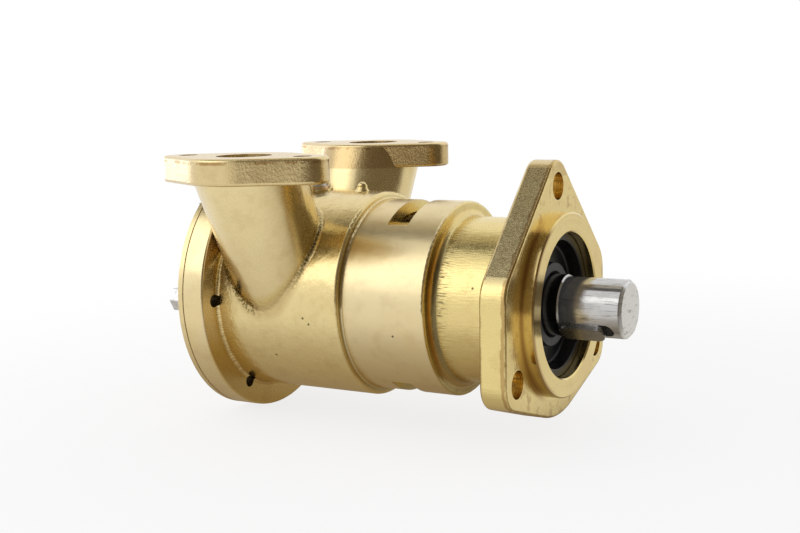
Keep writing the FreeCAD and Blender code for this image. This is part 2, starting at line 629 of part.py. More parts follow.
def cover_gasket():
    """Flat paper gasket between the cover and the body."""
    outer = COVER_FLANGE_DIAMETER - 2 * GASKET_INSET
    gasket = ring(COVER_INNER_X, COVER_FACE_X, outer, IMPELLER_CHAMBER_DIAMETER)
    hole = COVER_SCREW_DIAMETER + COVER_HOLE_CLEARANCE
    return gasket.cut(cover_screw_holes(COVER_INNER_X - 1, COVER_FACE_X + 1, hole))


def hexagon_head(base, across_flats, height, direction):
    """Hexagon screw head that stands on a base point."""
    corner_radius = across_flats / math.sqrt(3)
    corners = []
    for index in range(6):
        angle = math.radians(60 * index)
        corners.append(Vector(0, corner_radius * math.cos(angle), corner_radius * math.sin(angle)))
    wire = Part.makePolygon([base + corner for corner in corners] + [base + corners[0]])
    head = Part.Face(wire).extrude(direction * height)
    crown = Part.makeCone(corner_radius + height, across_flats / 2, height, base, direction)
    return head.common(crown)


def cover_screws():
    """Hexagon-headed screws that hold the cover."""
    screws = []
    for angle in cover_screw_angles():
        centre = polar_point(0, COVER_SCREW_PCD / 2, angle)
        seat = Vector(COVER_OUTER_X, centre.y, centre.z)
        head = hexagon_head(seat, COVER_SCREW_HEAD_ACROSS_FLATS, COVER_SCREW_HEAD_HEIGHT, -X_AXIS)
        end_x = COVER_FACE_X + COVER_SCREW_ENGAGEMENT
        screws.append(joined([head, disc(COVER_OUTER_X - 1, end_x, COVER_SCREW_DIAMETER, centre)]))
    return Part.makeCompound(screws)


def keyway(x_low, x_high, width, seat_radius, degrees, round_low, round_high):
    """Slot cut in a shaft by an end mill, or the blank of the key that fills it."""
    height = 2 * seat_radius
    block = Part.makeBox(x_high - x_low, width, height, Vector(x_low, -width / 2, seat_radius))
    for is_round, end_x, sign in ((round_low, x_low, 1), (round_high, x_high, -1)):
        if is_round:
            centre = Vector(end_x + sign * width / 2, 0, seat_radius)
            corner_x = end_x if sign > 0 else end_x - width / 2
            square_end = Part.makeBox(width / 2, width, height, Vector(corner_x, -width / 2, seat_radius))
            block = block.cut(square_end).fuse(Part.makeCylinder(width / 2, height, centre, Z_AXIS))
    block = block.removeSplitter()
    block.rotate(ORIGIN, X_AXIS, degrees - 90)
    return block


def key(x_low, x_high, width, seat_radius, key_height, degrees):
    """Parallel key with rounded ends, seated at a radius."""
    blank = keyway(x_low, x_high, width, seat_radius, degrees, True, True)
    limit = Part.makeBox(x_high - x_low, width, key_height, Vector(x_low, -width / 2, seat_radius))
    limit.rotate(ORIGIN, X_AXIS, degrees - 90)
    return blank.common(limit)


def drive_key():
    """Key for the drive gear or coupling on the outer end."""
    return key(DRIVE_KEY_START_X, DRIVE_KEY_START_X + DRIVE_KEY_LENGTH, DRIVE_KEY_WIDTH,
               DRIVE_KEY_SEAT_RADIUS, DRIVE_KEY_HEIGHT, DRIVE_KEY_ANGLE)


def impeller_key():
    """Key that turns the impeller's insert."""
    half = IMPELLER_KEY_LENGTH / 2
    return key(IMPELLER_KEY_CENTRE_X - half, IMPELLER_KEY_CENTRE_X + half, IMPELLER_KEY_WIDTH,
               IMPELLER_KEY_SEAT_RADIUS, IMPELLER_KEY_HEIGHT, 90)


def shaft():
    """Stepped stainless shaft with a collar between the bearings and two keyways."""
    collar_front_x = FRONT_BEARING_X - BEARING_WIDTH
    clip_front_x = FRONT_BEARING_X + SHAFT_CLIP_THICKNESS + 2 * CIRCLIP_CLEARANCE
    clip_radius = BEARING_SEAT_DIAMETER / 2 - SHAFT_CLIP_GROOVE_DEPTH
    drive_radius = DRIVE_JOURNAL_DIAMETER / 2
    blank = turned([
        (DRIVE_END_X, 0, 0),
        (DRIVE_END_X, drive_radius - DRIVE_END_CHAMFER, 0),
        (DRIVE_END_X - DRIVE_END_CHAMFER, drive_radius, 0),
        (SEAL_LAND_END_X, drive_radius, 0),
        (SEAL_LAND_END_X, SEAL_LAND_DIAMETER / 2 - SEAL_LAND_CHAMFER, 0),
        (SEAL_LAND_END_X - SEAL_LAND_CHAMFER, SEAL_LAND_DIAMETER / 2, 0),
        (BEARING_SEAT_END_X, SEAL_LAND_DIAMETER / 2, 0),
        (BEARING_SEAT_END_X, BEARING_SEAT_DIAMETER / 2, 0),
        (clip_front_x, BEARING_SEAT_DIAMETER / 2, 0),
        (clip_front_x, clip_radius, 0),
        (FRONT_BEARING_X, clip_radius, 0),
        (FRONT_BEARING_X, BEARING_SEAT_DIAMETER / 2, 0),
        (collar_front_x, BEARING_SEAT_DIAMETER / 2, 0),
        (collar_front_x, BEARING_COLLAR_DIAMETER / 2, 0),
        (REAR_BEARING_X, BEARING_COLLAR_DIAMETER / 2, 0),
        (REAR_BEARING_X, BEARING_SEAT_DIAMETER / 2, 0),
        (REAR_BEARING_X - BEARING_WIDTH, BEARING_SEAT_DIAMETER / 2, 0),
        (REAR_BEARING_X - BEARING_WIDTH, LIP_LAND_DIAMETER / 2, 0),
        (LIP_LAND_END_X, LIP_LAND_DIAMETER / 2, 0),
        (LIP_LAND_END_X, IMPELLER_JOURNAL_DIAMETER / 2, 0),
        (IMPELLER_JOURNAL_END_X, IMPELLER_JOURNAL_DIAMETER / 2, 0),
        (IMPELLER_JOURNAL_END_X, 0, 0),
    ])
    drive_slot = keyway(DRIVE_KEY_START_X, DRIVE_KEY_START_X + DRIVE_KEYWAY_LENGTH, DRIVE_KEY_WIDTH,
                        DRIVE_KEY_SEAT_RADIUS, DRIVE_KEY_ANGLE, True, True)
    half = IMPELLER_KEY_LENGTH / 2
    impeller_slot = keyway(IMPELLER_KEY_CENTRE_X - half, IMPELLER_KEY_CENTRE_X + half,
                           IMPELLER_KEY_WIDTH, IMPELLER_KEY_SEAT_RADIUS, 90, True, True)
    return blank.cut(drive_slot).cut(impeller_slot)


def race_groove(front_x):
    """Ring-shaped track that the balls roll in."""
    track_radius = BALL_DIAMETER / 2 + RACE_GROOVE_CLEARANCE
    centre = Vector(front_x - BEARING_WIDTH / 2, 0, 0)
    return Part.makeTorus(BALL_PITCH_DIAMETER / 2, track_radius, centre, X_AXIS)


def outer_race(front_x):
    """Outer ring of a ball bearing, pressed in the barrel."""
    land = BALL_PITCH_DIAMETER + BALL_DIAMETER - 2 * RACE_LAND_INSET
    return ring(front_x - BEARING_WIDTH, front_x, BEARING_BORE, land).cut(race_groove(front_x))


def inner_race(front_x):
    """Inner ring of a ball bearing, pressed on the shaft."""
    land = BALL_PITCH_DIAMETER - BALL_DIAMETER + 2 * RACE_LAND_INSET
    return ring(front_x - BEARING_WIDTH, front_x, land, BEARING_SEAT_DIAMETER).cut(race_groove(front_x))


def ball_centres(front_x):
    """Ball places round the pitch circle."""
    x = front_x - BEARING_WIDTH / 2
    return [polar_point(x, BALL_PITCH_DIAMETER / 2, i * 360 / BALL_COUNT) for i in range(BALL_COUNT)]


def bearing_balls(front_x):
    """The balls of one bearing."""
    return Part.makeCompound([Part.makeSphere(BALL_DIAMETER / 2, c) for c in ball_centres(front_x)])


def bearing_cage(front_x):
    """Band with a round pocket for each ball."""
    middle_x = front_x - BEARING_WIDTH / 2
    outer = BALL_PITCH_DIAMETER + CAGE_THICKNESS
    inner = BALL_PITCH_DIAMETER - CAGE_THICKNESS
    band = ring(middle_x - CAGE_WIDTH / 2, middle_x + CAGE_WIDTH / 2, outer, inner)
    pocket_radius = BALL_DIAMETER / 2 + CAGE_POCKET_CLEARANCE
    for centre in ball_centres(front_x):
        outward = Vector(0, centre.y, centre.z).normalize()
        start = centre - outward * CAGE_THICKNESS * 2
        band = band.cut(Part.makeCylinder(pocket_radius, CAGE_THICKNESS * 4, start, outward))
    return band


def race_spacer():
    """Sleeve that keeps the two outer races apart."""
    front_x = FRONT_BEARING_X - BEARING_WIDTH
    return ring(REAR_BEARING_X, front_x, BEARING_BORE, BEARING_BORE - 2 * RACE_SPACER_WALL)


def open_ring(x_low, x_high, outer_diameter, inner_diameter, lug_radius, lug_at):
    """Retaining ring with a gap at the bottom and a plier hole in each end."""
    clip = ring(x_low, x_high, outer_diameter, inner_diameter)
    lugs = []
    holes = []
    for sign in (-1, 1):
        lug_half_angle = math.degrees(lug_radius / lug_at)
        angle = -90 + sign * (CIRCLIP_GAP_DEGREES / 2 + lug_half_angle)
        centre = polar_point(0, lug_at, angle)
        lugs.append(disc(x_low, x_high, 2 * lug_radius, centre))
        holes.append(disc(x_low - 1, x_high + 1, lug_radius, centre))
    half_gap = math.radians(CIRCLIP_GAP_DEGREES / 2)
    far = outer_diameter
    wedge = Part.makePolygon([
        Vector(x_low - 1, 0, 0),
        Vector(x_low - 1, -far * math.sin(half_gap), -far * math.cos(half_gap)),
        Vector(x_low - 1, far * math.sin(half_gap), -far * math.cos(half_gap)),
        Vector(x_low - 1, 0, 0),
    ])
    opening = Part.Face(wedge).extrude(X_AXIS * (x_high - x_low + 2))
    return joined([clip] + lugs).cut(opening).cut(Part.makeCompound(holes))


def bearing_circlip():
    """Internal circlip in front of the outer races."""
    outer = BEARING_BORE + 2 * (CIRCLIP_GROOVE_DEPTH - CIRCLIP_CLEARANCE)
    inner = outer - 2 * CIRCLIP_RING_WIDTH
    lug_at = inner / 2 + CIRCLIP_LUG_RADIUS / 4
    return open_ring(FRONT_BEARING_X, CIRCLIP_FRONT_X, outer, inner, CIRCLIP_LUG_RADIUS, lug_at)


def shaft_circlip():
    """External circlip on the shaft in front of the inner race."""
    inner = BEARING_SEAT_DIAMETER - 2 * SHAFT_CLIP_GROOVE_DEPTH
    outer = inner + 2 * SHAFT_CLIP_RING_WIDTH
    high_x = FRONT_BEARING_X + SHAFT_CLIP_THICKNESS
    lug_at = outer / 2 - SHAFT_CLIP_LUG_RADIUS / 4
    return open_ring(FRONT_BEARING_X, high_x, outer, inner, SHAFT_CLIP_LUG_RADIUS, lug_at)


def oil_seal_case():
    """Rubber-covered shell of the drive-end oil seal, open to the front."""
    outer = BEARING_BORE / 2
    shell = outer - OIL_SEAL_SHELL
    hub = OIL_SEAL_LIP_DIAMETER / 2
    web_front_x = OIL_SEAL_BACK_X + OIL_SEAL_WEB
    return turned([
        (OIL_SEAL_BACK_X, hub, 0),
        (OIL_SEAL_BACK_X, outer, OIL_SEAL_BACK_ROUND),
        (OIL_SEAL_FACE_X, outer, OIL_SEAL_FRONT_ROUND),
        (OIL_SEAL_FACE_X, shell, OIL_SEAL_FRONT_ROUND),
        (web_front_x, shell - OIL_SEAL_POCKET_DRAFT, OIL_SEAL_POCKET_ROUND),
        (web_front_x, hub, 0),
    ])


def oil_seal_lip():
    """Lip ring of the oil seal, which runs on the shaft's seal land."""
    outer = OIL_SEAL_LIP_DIAMETER / 2
    land = SEAL_LAND_DIAMETER / 2 + SEAL_RUNNING_CLEARANCE
    groove_inner = land + GARTER_SEAT_WALL
    groove_outer = groove_inner + GARTER_WIRE_DIAMETER
    groove_x = OIL_SEAL_BACK_X + GARTER_WIRE_DIAMETER + GARTER_SEAT_ROOM
    front_x = OIL_SEAL_FACE_X - OIL_SEAL_LIP_INSET
    edge_x = OIL_SEAL_BACK_X + LIP_EDGE_INSET
    return turned([
        (OIL_SEAL_BACK_X, outer, 0),
        (front_x, outer, LIP_ROUND),
        (front_x, land + LIP_FLARE, LIP_ROUND),
        (edge_x + LIP_EDGE_WIDTH, land, 0),
        (edge_x, land, 0),
        (OIL_SEAL_BACK_X, land + LIP_FLARE, 0),
        (OIL_SEAL_BACK_X, groove_inner, 0),
        (groove_x, groove_inner, 0),
        (groove_x, groove_outer, 0),
        (OIL_SEAL_BACK_X, groove_outer, 0),
    ])


def garter_spring():
    """Coil-spring ring, drawn solid, that presses the oil seal's lip on the shaft."""
    wire_radius = GARTER_WIRE_DIAMETER / 2
    radius = SEAL_LAND_DIAMETER / 2 + SEAL_RUNNING_CLEARANCE + GARTER_SEAT_WALL + wire_radius
    centre = Vector(OIL_SEAL_BACK_X + wire_radius + GARTER_SEAT_ROOM, 0, 0)
    return Part.makeTorus(radius, wire_radius, centre, X_AXIS)


def inner_lip_seal():
    """Second oil seal, behind the bearings, which keeps grease from the drain cavity."""
    outer = LIP_SEAL_BORE / 2
    land = LIP_LAND_DIAMETER / 2 + SEAL_RUNNING_CLEARANCE
    edge_x = LIP_SEAL_BACK_X + INNER_LIP_EDGE_INSET
    pocket = outer - INNER_LIP_SHELL
    return turned([
        (LIP_SEAL_FRONT_X, outer, 0),
        (LIP_SEAL_BACK_X, outer, 0),
        (LIP_SEAL_BACK_X, land + INNER_LIP_FLARE, 0),
        (edge_x, land, 0),
        (edge_x + INNER_LIP_EDGE_WIDTH, land, 0),
        (edge_x, pocket - INNER_LIP_SHELL_DRAFT, 0),
        (LIP_SEAL_FRONT_X, pocket, 0),
    ])


def slinger():
    """Rubber disc on the shaft that throws leaked water out through the drain slots."""
    hub_diameter = IMPELLER_JOURNAL_DIAMETER + 2 * SLINGER_HUB_WALL
    hub = ring(SLINGER_X - SLINGER_HUB_LENGTH, LIP_LAND_END_X, hub_diameter, IMPELLER_JOURNAL_DIAMETER)
    plate = ring(SLINGER_X, SLINGER_X + SLINGER_THICKNESS, SLINGER_DIAMETER, IMPELLER_JOURNAL_DIAMETER)
    return joined([hub, plate])


def ceramic_seat():
    """Stationary ceramic face of the water seal."""
    floor_x = SEAT_FLOOR_X - SEAT_CUP_FLOOR
    return ring(CERAMIC_FACE_X, floor_x, CERAMIC_OUTER_DIAMETER, CERAMIC_INNER_DIAMETER)


def seat_cup():
    """Rubber cup that holds the ceramic seat in the web."""
    blank = disc(SEAT_MOUTH_X, SEAT_FLOOR_X, SEAT_BORE)
    pocket = disc(SEAT_MOUTH_X - 1, SEAT_FLOOR_X - SEAT_CUP_FLOOR, CERAMIC_OUTER_DIAMETER)
    return blank.cut(pocket).cut(disc(SEAT_MOUTH_X - 1, SEAT_FLOOR_X + 1, SEAT_WEB_HOLE))


def carbon_face():
    """Rotating carbon ring that rubs on the ceramic seat."""
    inner = IMPELLER_JOURNAL_DIAMETER + 2 * CARBON_CLEARANCE
    return ring(CARBON_BACK_X, CERAMIC_FACE_X, CARBON_OUTER_DIAMETER, inner)


def seal_bellows():
    """Rubber bellows that grips the shaft and carries the carbon ring."""
    bore = IMPELLER_JOURNAL_DIAMETER / 2
    outer = BELLOWS_DIAMETER / 2
    front_lip = CARBON_OUTER_DIAMETER / 2
    rear_lip = front_lip + SPRING_WIRE_DIAMETER
    edge = BELLOWS_FOLD / 4
    return turned([
        (CARBON_BACK_X, bore, 0),
        (CARBON_BACK_X, front_lip, edge),
        (CARBON_BACK_X - BELLOWS_FOLD, front_lip, edge),
        (CARBON_BACK_X - BELLOWS_FOLD, outer, 0),
        (BELLOWS_END_X + BELLOWS_FOLD, outer, 0),
        (BELLOWS_END_X + BELLOWS_FOLD, rear_lip, edge),
        (BELLOWS_END_X, rear_lip, edge),
        (BELLOWS_END_X, bore, 0),
    ])


def seal_spring():
    """Coil spring that presses the carbon ring on the seat."""
    wire = SPRING_WIRE_DIAMETER
    end_room = BELLOWS_FOLD + wire / 2 + SPRING_CLEARANCE
    front_x = CARBON_BACK_X - end_room
    back_x = BELLOWS_END_X + end_room
    radius = BELLOWS_DIAMETER / 2 + wire / 2 + 2 * SPRING_CLEARANCE
    pitch = (front_x - back_x) / SPRING_TURNS
    path = Part.makeHelix(pitch, front_x - back_x, radius)
    section = Part.Wire(Part.makeCircle(wire / 2, Vector(radius, 0, 0), Y_AXIS))
    coil = Part.Wire(path).makePipeShell([section], True, True)
    coil.rotate(ORIGIN, Y_AXIS, 90)
    coil.translate(Vector(back_x, 0, 0))
    return coil


def wear_plate():
    """Replaceable plate at the inner end of the impeller chamber."""
    outer = IMPELLER_CHAMBER_DIAMETER - 2 * WEAR_PLATE_CLEARANCE
    hole = IMPELLER_JOURNAL_DIAMETER + 2 * WEAR_PLATE_BORE_CLEARANCE
    return ring(WEAR_PLATE_BACK_X, IMPELLER_CHAMBER_FLOOR_X, outer, hole)


def cam():
    """Segment on top of the chamber that squeezes the vanes as they pass."""
    low_x = COVER_INNER_X + CAM_END_CLEARANCE
    high_x = WEAR_PLATE_BACK_X
    round_part = disc(low_x, high_x, IMPELLER_CHAMBER_DIAMETER)
    corner = Vector(low_x, -CHAMBER_RADIUS, CAM_FLAT_Z)
    above = Part.makeBox(high_x - low_x, 2 * CHAMBER_RADIUS, CAM_HEIGHT, corner)
    hole_foot = Vector(PORT_X, 0, CHAMBER_RADIUS - CAM_SCREW_REACH)
    hole = Part.makeCylinder(CAM_SCREW_DIAMETER / 2, CAM_SCREW_REACH, hole_foot, Z_AXIS)
    return round_part.common(above).cut(hole)


def cam_screw():
    """Screw that holds the cam from outside, through its boss."""
    seat_z = CAM_BOSS_TOP_Z + CAM_WASHER_THICKNESS
    top_z = seat_z + CAM_SCREW_HEAD_HEIGHT
    seat = Vector(PORT_X, 0, seat_z)
    head = Part.makeCylinder(CAM_SCREW_HEAD_DIAMETER / 2, CAM_SCREW_HEAD_HEIGHT, seat, Z_AXIS)
    head = head.makeFillet(CAM_SCREW_HEAD_HEIGHT / 4, edges_on_plane(head, Z_AXIS, top_z))
    slot_low_x = PORT_X - CAM_SCREW_HEAD_DIAMETER
    slot_corner = Vector(slot_low_x, -CAM_SCREW_SLOT_WIDTH / 2, top_z - CAM_SCREW_SLOT_DEPTH)
    slot_length = 2 * CAM_SCREW_HEAD_DIAMETER
    slot = Part.makeBox(slot_length, CAM_SCREW_SLOT_WIDTH, 2 * CAM_SCREW_SLOT_DEPTH, slot_corner)
    foot = Vector(PORT_X, 0, CHAMBER_RADIUS - CAM_SCREW_REACH)
    shank = Part.makeCylinder(CAM_SCREW_DIAMETER / 2, seat_z - foot.z + 1, foot, Z_AXIS)
    return joined([head.cut(slot), shank])


def cam_washer():
    """Sealing washer under the cam screw's head."""
    foot = Vector(PORT_X, 0, CAM_BOSS_TOP_Z)
    washer = Part.makeCylinder(CAM_WASHER_DIAMETER / 2, CAM_WASHER_THICKNESS, foot, Z_AXIS)
    return washer.cut(Part.makeCylinder(CAM_SCREW_DIAMETER / 2, CAM_WASHER_THICKNESS, foot, Z_AXIS))


def room_for_tip(degrees):
    """Largest radius at which a vane's tip clears the chamber wall and the cam's flat."""
    margin = VANE_TIP_DIAMETER / 2 + VANE_CLEARANCE
    rise = math.sin(math.radians(degrees))
    if rise <= 0:
        return CHAMBER_RADIUS - margin
    return min(CHAMBER_RADIUS - margin, (CAM_FLAT_Z - margin) / rise)


def vane_tip(root_degrees, bend):
    """Tip-bulb centre of a vane bent to a circular arc of the given total turn."""
    root_radius = HUB_DIAMETER / 2 - VANE_ROOT_THICKNESS / 2
    length = VANE_LENGTH + VANE_ROOT_THICKNESS / 2
    along = root_radius + length * math.sin(bend) / bend
    across = length * (1 - math.cos(bend)) / bend
    turn = math.degrees(math.atan2(across, along))
    return math.hypot(along, across), root_degrees - turn


def vane_bend(root_degrees):
    """Turn of a vane, found by halving, that brings its tip just clear of the wall."""
    low, high = 1e-3, math.radians(150)
    for _ in range(50):
        middle = (low + high) / 2
        radius, degrees = vane_tip(root_degrees, middle)
        if radius > room_for_tip(degrees):
            low = middle
        else:
            high = middle
    return high


def vane(root_degrees):
    """One rubber vane: a bent strip with a round bulb at its tip."""
    bend = vane_bend(root_degrees)
    root_radius = HUB_DIAMETER / 2 - VANE_ROOT_THICKNESS / 2
    arc_radius = (VANE_LENGTH + VANE_ROOT_THICKNESS / 2) / bend
    low_x = COVER_INNER_X + IMPELLER_END_CLEARANCE
    half = VANE_ROOT_THICKNESS / 2

    def on_arc(share, offset):
        turn = bend * share
        along = root_radius + (arc_radius + offset) * math.sin(turn)
        across = (arc_radius + offset) * math.cos(turn) - arc_radius
        angle = math.radians(root_degrees)
        y = along * math.cos(angle) - across * math.sin(angle)
        z = along * math.sin(angle) + across * math.cos(angle)
        return Vector(low_x, y, z)

    outer = Part.Arc(on_arc(0, half), on_arc(0.5, half), on_arc(1, half)).toShape()
    inner = Part.Arc(on_arc(1, -half), on_arc(0.5, -half), on_arc(0, -half)).toShape()
    tip = Part.makeLine(on_arc(1, half), on_arc(1, -half))
    root = Part.makeLine(on_arc(0, -half), on_arc(0, half))
    strip = Part.Face(Part.Wire([outer, tip, inner, root])).extrude(X_AXIS * impeller_width())
    centre = on_arc(1, 0)
    bulb = Part.makeCylinder(VANE_TIP_DIAMETER / 2, impeller_width(), centre, X_AXIS)
    return strip.fuse(bulb)


def impeller_width():
    """Width of the impeller between the cover and the wear plate."""
    return WEAR_PLATE_BACK_X - COVER_INNER_X - 2 * IMPELLER_END_CLEARANCE


def impeller():
    """Rubber impeller as it sits in the pump, with the vanes under the cam bent over."""
    low_x = COVER_INNER_X + IMPELLER_END_CLEARANCE
    hub = ring(low_x, low_x + impeller_width(), HUB_DIAMETER, INSERT_DIAMETER)
    vanes = [vane(VANE_PHASE + index * 360 / VANE_COUNT) for index in range(VANE_COUNT)]
    bore = disc(low_x - 1, low_x + impeller_width() + 1, INSERT_DIAMETER)
    return joined([hub] + vanes).cut(bore)


def impeller_insert():
    """Bronze bush moulded into the impeller, with a keyway."""
    low_x = COVER_INNER_X + IMPELLER_END_CLEARANCE
    bush = ring(low_x, low_x + impeller_width(), INSERT_DIAMETER, IMPELLER_JOURNAL_DIAMETER)
    top = IMPELLER_KEY_SEAT_RADIUS + IMPELLER_KEY_HEIGHT
    slot_corner = Vector(low_x - 1, -IMPELLER_KEY_WIDTH / 2, 0)
    return bush.cut(Part.makeBox(impeller_width() + 2, IMPELLER_KEY_WIDTH, top, slot_corner))


def write_parts():
    """Write one STEP file for each piece."""
    os.makedirs("parts", exist_ok=True)
    pieces = {
        "pump_body": pump_body(),
        "end_cover": end_cover(),
        "cover_gasket": cover_gasket(),
        "cover_screws": cover_screws(),
        "wear_plate": wear_plate(),
        "cam": cam(),
        "cam_screw": cam_screw(),
        "cam_washer": cam_washer(),
        "impeller": impeller(),
        "impeller_insert": impeller_insert(),
        "impeller_key": impeller_key(),
        "shaft": shaft(),
        "drive_key": drive_key(),
        "front_outer_race": outer_race(FRONT_BEARING_X),
        "front_inner_race": inner_race(FRONT_BEARING_X),
        "front_balls": bearing_balls(FRONT_BEARING_X),
        "front_cage": bearing_cage(FRONT_BEARING_X),
        "rear_outer_race": outer_race(REAR_BEARING_X),
        "rear_inner_race": inner_race(REAR_BEARING_X),
        "rear_balls": bearing_balls(REAR_BEARING_X),
        "rear_cage": bearing_cage(REAR_BEARING_X),
        "race_spacer": race_spacer(),
        "bearing_circlip": bearing_circlip(),
        "shaft_circlip": shaft_circlip(),
        "oil_seal_case": oil_seal_case(),
        "oil_seal_lip": oil_seal_lip(),
        "garter_spring": garter_spring(),
        "inner_lip_seal": inner_lip_seal(),
        "slinger": slinger(),
        "ceramic_seat": ceramic_seat(),
        "seat_cup": seat_cup(),
        "carbon_face": carbon_face(),
        "seal_bellows": seal_bellows(),
        "seal_spring": seal_spring(),
    }
    for name, shape in pieces.items():
        shape.exportStep("parts/" + name + ".step")
        print(name, len(shape.Solids), "solids", round(shape.Volume), "mm3", shape.isValid())


write_parts()
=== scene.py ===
# %% [markdown]
# # A raw water pump in cast bronze
#
# A sea water pump is a good first study in metal: it has one big casting, a steel shaft,
# a rubber seal and almost nothing else, so the whole picture depends on how surfaces
# catch the light. The pieces themselves come from an engineering model. This file gives
# them their finishes, adds the small things that a casting has and a drawing leaves out,
# and sets up the studio round them.
#
# Everything is in metres. The shaft lies along X and points out of the drive end at +X,
# Z is up, and the engine flange's machined face is at X = 0.

import math

import bmesh
import bpy
import numpy as np
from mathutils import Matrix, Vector


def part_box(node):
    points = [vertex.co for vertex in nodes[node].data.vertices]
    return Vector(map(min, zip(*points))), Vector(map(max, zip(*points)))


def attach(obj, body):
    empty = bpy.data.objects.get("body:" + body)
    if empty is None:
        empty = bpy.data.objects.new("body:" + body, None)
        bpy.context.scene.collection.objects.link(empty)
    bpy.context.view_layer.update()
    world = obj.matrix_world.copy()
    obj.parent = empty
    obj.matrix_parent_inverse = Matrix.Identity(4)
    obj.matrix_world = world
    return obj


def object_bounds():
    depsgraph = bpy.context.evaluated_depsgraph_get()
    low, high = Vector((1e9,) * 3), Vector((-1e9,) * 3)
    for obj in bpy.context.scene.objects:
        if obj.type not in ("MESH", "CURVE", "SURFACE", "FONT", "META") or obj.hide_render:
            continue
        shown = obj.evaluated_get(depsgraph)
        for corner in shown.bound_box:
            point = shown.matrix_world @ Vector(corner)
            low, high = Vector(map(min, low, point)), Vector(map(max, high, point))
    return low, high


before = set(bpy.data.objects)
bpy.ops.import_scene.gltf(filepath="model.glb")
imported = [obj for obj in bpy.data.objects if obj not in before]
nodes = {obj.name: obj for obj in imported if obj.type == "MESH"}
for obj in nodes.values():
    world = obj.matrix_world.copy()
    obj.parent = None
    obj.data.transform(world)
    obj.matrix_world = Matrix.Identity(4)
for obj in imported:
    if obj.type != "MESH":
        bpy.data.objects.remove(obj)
drawing_box = [list(map(float, corner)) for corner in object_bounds()]
port_face_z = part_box("pump_body")[1][2]
print("pieces:", len(nodes), "box in mm:", np.round(np.array(drawing_box) * 1000, 1).tolist())

# %% [markdown]
# ## Landmarks
#
# A finish often changes where the shape changes: a turned barrel ends at a shoulder, and
# a rubbed edge runs along a rim. Those places are measured here from the pieces, or
# stated once as a size, so that the patterns below have something to hold on to.

# %% Landmarks along the shaft
cover_low, cover_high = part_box("end_cover")
cam_screw_low, cam_screw_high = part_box("cam_screw")
flange_face_x = 0.0
flange_thickness = 0.010
flange_back_x = flange_face_x - flange_thickness
front_shoulder_x = -0.0356
rear_shoulder_x = -0.0691
cover_flange_back_x = -0.1219
ground_z = drawing_box[0][2]

# %% Sizes across the shaft
front_barrel_radius = 0.0304
middle_barrel_radius = 0.036
chamber_barrel_radius = 0.0388
cover_flange_radius = 0.048
register_radius = 0.033
register_face_x = 0.0042
bolt_circle_radius = 0.0422
bolt_hole_radius = 0.0049
bolt_turns = (90, 210, 330)
cover_screw_circle = 0.0405
cover_hole_radius = 0.0024
cover_screw_turns = range(0, 360, 60)

# %% The ports
# No part of a port is as far from its middle, along X, as port_reach.
port_x = (cam_screw_low[0] + cam_screw_high[0]) / 2
port_flange_thickness = 0.0095
port_reach = 0.0436
print("cover from", round(cover_low[0] * 1000, 1), "to", round(cover_high[0] * 1000, 1), "mm")
print("ports at X", round(port_x * 1000, 1), "mm, faces at Z", round(port_face_z * 1000, 1), "mm")

# %% The leaning necks
# Each neck is round when it is cut level. Its centre moves out and its radius grows by
# a fixed amount for each metre of height above its foot.
neck_foot_z = -0.0186
neck_foot_y = 0.014
neck_foot_radius = 0.017
neck_lean = 0.426
neck_taper = 0.0609

# %% [markdown]
# ## A short way to write node trees
#
# A procedural material is a graph: patterns feed numbers into a shader. Writing that
# graph with the full bpy calls takes three lines for each node, so a small helper class
# keeps the recipes readable. Each method adds one node and returns the socket that
# carries its result.


